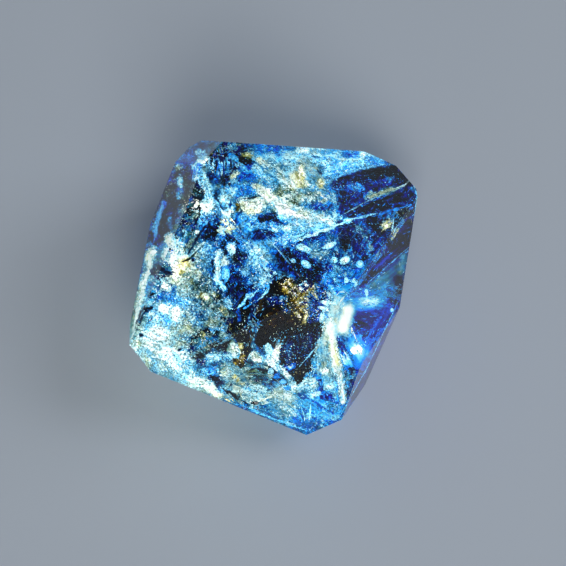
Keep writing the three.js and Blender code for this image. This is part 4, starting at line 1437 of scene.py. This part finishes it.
def crust(name, middle, half, bodies, seed):
    """The cracked, lumpy skin of the bitumen on the side that faces up: it follows the body under it
    at a little distance, rises and falls by its grain, and has the bitumen's outline."""
    s = np.arange(-half[0], half[0], LACE_STEP)[None, :]
    t = np.arange(-half[1], half[1], LACE_STEP)[:, None]
    x, y = np.broadcast_arrays(middle[0] + s, middle[1] + t)
    warp_x = x + CRUST_WARP * mottling(x, y, CRUST_WARP_SIZE, seed + 2, 4, 0.8)
    warp_y = y + CRUST_WARP * mottling(x, y, CRUST_WARP_SIZE, seed + 3, 4, 0.8)
    light, warmth, beads = np.moveaxis(painted(warp_x, warp_y, BARE_CRUST, BITUMEN_STROKES), -1, 0)
    spots = 0.9 * drops(warp_x, warp_y, CRUST_DROP, seed + 7)
    spots += 0.8 * mottling(warp_x, warp_y, CRUST_PATCH, seed + 4, 3, 0.9)
    grain = np.tanh(spots)
    # Painted light: lighter where the grain stands the crust up towards the eye, and a painted glint
    # where it is beaded.
    light = light * (1 + CRUST_CONTRAST * grain) + CRUST_GLINT * beads * grain
    deep = np.min([first_met(x, y, body) for body in bodies], axis=0)
    deep = deep - CRUST_GAP - CRUST_RISE * grain
    points, face = sight(x, y, deep)
    solid = (over_bitumen(warp_x, warp_y) > -CRUST_OVERHANG) & (face >= 0)
    keep = whole_cells(solid) & same_face(face)
    colours = film_colour(light, warmth, deep)
    piece = link(name, tinted_mesh(name, *sheet(points, colours, keep)), waxy_bitumen)


waxy_bitumen = bitumen_material()
bitumen_body("bitumen_lump", [lump(LUMP, 61), lump(TONGUE, 64)], "bitumen_mass")
bitumen_body("bitumen_streak", [lump(VEIN, 67, rings=120, sectors=60)], "bitumen_vein")
crust("bitumen_crust", *LUMP_VIEW, [LUMP, TONGUE], 71)
crust("bitumen_vein_crust", *VEIN_VIEW, [VEIN], 81)

# Sparkles on the bitumen: painted glints, tiny glowing grains that stand a little proud of its
# crust, gold on the lump and the vein, and blue white on the tongue.
SPARKLE_SIZES, SPARKLE_SPREAD = (0.02, 0.045), (0.8, 1.5)
SPARKLE_SHAPE = np.array([1, 0.7, 0.5])
SPARKLE_INSET, FEWEST_SPARKLES = 0.5, 0.12
SPARKLE_GAIN, BRIGHTEST_SPARKLE, SPARKLE_RARITY = 1.5, 0.97, 2.6
WARMTH_VARIETY = 0.12
# Left, top, right and bottom of each region of the view.
LUMP_REGION, TONGUE_REGION = (262, 278, 322, 334), (276, 334, 322, 384)
VEIN_REGION = (228, 298, 256, 370)


def grains(name, middles, axes, colours):
    """Small eight-sided grains, one stretched along each set of three axes."""
    piece = link(name, stamped(name, 1, 4, middles, axes, colours), oil_film)


def turned_axes(random, half_sizes):
    """Three axes for each grain, as long as its half sizes and turned at random."""
    turns = np.linalg.qr(random.normal(size=(len(half_sizes), 3, 3)))[0]
    turns *= np.linalg.det(turns)[:, None, None]
    return turns * half_sizes[..., None]


def sparkles(name, count, seed, region, bodies):
    """Painted glints: grains at random places on the bitumen in a region of the view, most where its
    crust is beaded, each turned at random and just proud of the crust."""
    random = np.random.default_rng(seed)
    x = random.uniform(region[0], region[2], count)
    y = random.uniform(region[1], region[3], count)
    light, warmth, beads = painted(x, y, BARE_CRUST, BITUMEN_STROKES).T
    kept = (over_bitumen(x, y) > SPARKLE_INSET) & (sight(x, y, 0)[1] >= 0)
    chance = FEWEST_SPARKLES + (1 - FEWEST_SPARKLES) * beads
    kept &= random.uniform(0, 1, count) < chance
    x, y, light, warmth = x[kept], y[kept], light[kept], warmth[kept]
    count = len(x)
    deep = np.min([first_met(x, y, body) for body in bodies], axis=0)
    deep = deep - CRUST_GAP - 2 * CRUST_RISE
    radius = random.uniform(*SPARKLE_SIZES, count) * random.uniform(*SPARKLE_SPREAD, count)
    axes = turned_axes(random, radius[:, None] * SPARKLE_SHAPE)
    glint = random.uniform(0, BRIGHTEST_SPARKLE, count) ** SPARKLE_RARITY
    shade = np.clip(light * SPARKLE_GAIN + glint, 0, 1)
    colours = film_colour(shade, warmth + random.normal(0, WARMTH_VARIETY, count), deep)
    grains(name, sight(x, y, deep)[0], axes, colours)


sparkles("lump_sparkles", 1500, 45, LUMP_REGION, [LUMP, TONGUE])
sparkles("tongue_sparkles", 1300, 46, TONGUE_REGION, [LUMP, TONGUE])
sparkles("vein_sparkles", 500, 47, VEIN_REGION, [VEIN])

# Loose grains in and round the veils: gas bubbles, oil drops and tiny crystals, and short threads
# of oil that lie along the grain of the film.
LEFTMOST, TOPMOST, RIGHTMOST, LOWEST = 125, 138, 422, 436
INSET, FEWEST_GRAINS = 0.1, 0.04
SMALL_SHARE, SQUASH = 1.8, 0.7
FIBRE_LENGTHS, FIBRE_WIDTHS, LONGEST_HALF = (0.9, 2.8), (0.25, 0.5), 0.5
FIBRE_SWAY, FIBRE_WARMTH_VARIETY = 0.45, 0.1


def scattered(count, seed, depths, by_beads):
    """Random places over the film, more where it is beaded if by_beads is 1 and more where it is
    drawn out if it is 0: the view, the depth, the film there, and the generator for what follows."""
    random = np.random.default_rng(seed)
    x, y = random.uniform(LEFTMOST, RIGHTMOST, count), random.uniform(TOPMOST, LOWEST, count)
    beads = film_at(x, y)[2]
    wanted = by_beads * np.maximum(beads, 0) + (1 - by_beads) * (1 - np.abs(beads))
    chance = FEWEST_GRAINS + (1 - FEWEST_GRAINS) * wanted
    kept = (random.uniform(0, 1, count) < chance) & (sight(x, y, 0)[1] >= 0)
    kept &= over_bitumen(x, y) < 0
    x, y = x[kept], y[kept]
    deep = np.minimum(random.uniform(*depths, len(x)), SHORTEST_PATH_SHARE * path_length(x, y))
    inside = (sight(x, y, deep)[0] @ NORMALS.T < DISTANCES - INSET).all(1)
    x, y, deep = x[inside], y[inside], deep[inside]
    return x, y, deep, film_at(x, y), random


def specks(name, count, seed, shift, sizes, depths):
    """Grains as light as the film there plus the shift, with half sizes a, a s and a s^2 for the
    squash s, turned at random."""
    x, y, deep, film, random = scattered(count, seed, depths, 1)
    light, warmth = film[:2]
    count = len(x)
    radius = sizes[0] * (sizes[1] / sizes[0]) ** (random.uniform(0, 1, count) ** SMALL_SHARE)
    axes = turned_axes(random, radius[:, None] * SQUASH ** np.arange(3))
    shade = np.clip(light + random.uniform(*shift, count), 0, 1)
    colours = film_colour(shade, warmth + random.normal(0, WARMTH_VARIETY, count), deep)
    grains(name, sight(x, y, deep)[0], axes, colours)


def fibres(name, count, seed, shift, depths):
    """Slender grains that lie along the film's own direction, give or take a little."""
    x, y, deep, film, random = scattered(count, seed, depths, 0)
    light, warmth, _, cosine, sine = film
    count = len(x)
    angle = np.arctan2(sine, cosine) / 2 + random.normal(0, FIBRE_SWAY, count)
    long = random.uniform(*FIBRE_LENGTHS, count)
    middles = sight(x, y, deep)[0]
    along = sight(x + long * np.cos(angle), y + long * np.sin(angle), deep)[0] - middles
    reach = np.linalg.norm(along, axis=1, keepdims=True)
    tips = np.stack([middles + along, middles - along])
    sound = (tips @ NORMALS.T < DISTANCES - INSET).all((0, 2)) & (reach[:, 0] < LONGEST_HALF)
    across = np.cross(along, BACK)
    across /= np.linalg.norm(across, axis=1, keepdims=True)
    through = np.cross(along / reach, across)
    wide = random.uniform(*FIBRE_WIDTHS, count)[:, None] / POINTS_PER_MM
    axes = np.stack([along, across * wide, through * wide], 1)[sound]
    shade = np.clip(light + random.uniform(*shift, count), 0, 1)
    tone = warmth + random.normal(0, FIBRE_WARMTH_VARIETY, count)
    colours = film_colour(shade, tone, deep)[sound]
    grains(name, middles[sound], axes, colours)


specks("bright_specks", 20000, 41, shift=(0.15, 0.6), sizes=(0.02, 0.065), depths=(0.4, 1.6))
specks("dark_specks", 12000, 42, shift=(-0.5, -0.2), sizes=(0.02, 0.075), depths=(0.4, 1.3))
fibres("bright_fibres", 6000, 43, shift=(0.1, 0.35), depths=(0.4, 1.4))
fibres("dark_fibres", 6000, 44, shift=(-0.4, -0.1), depths=(0.4, 1.3))

bpy.context.view_layer.update()
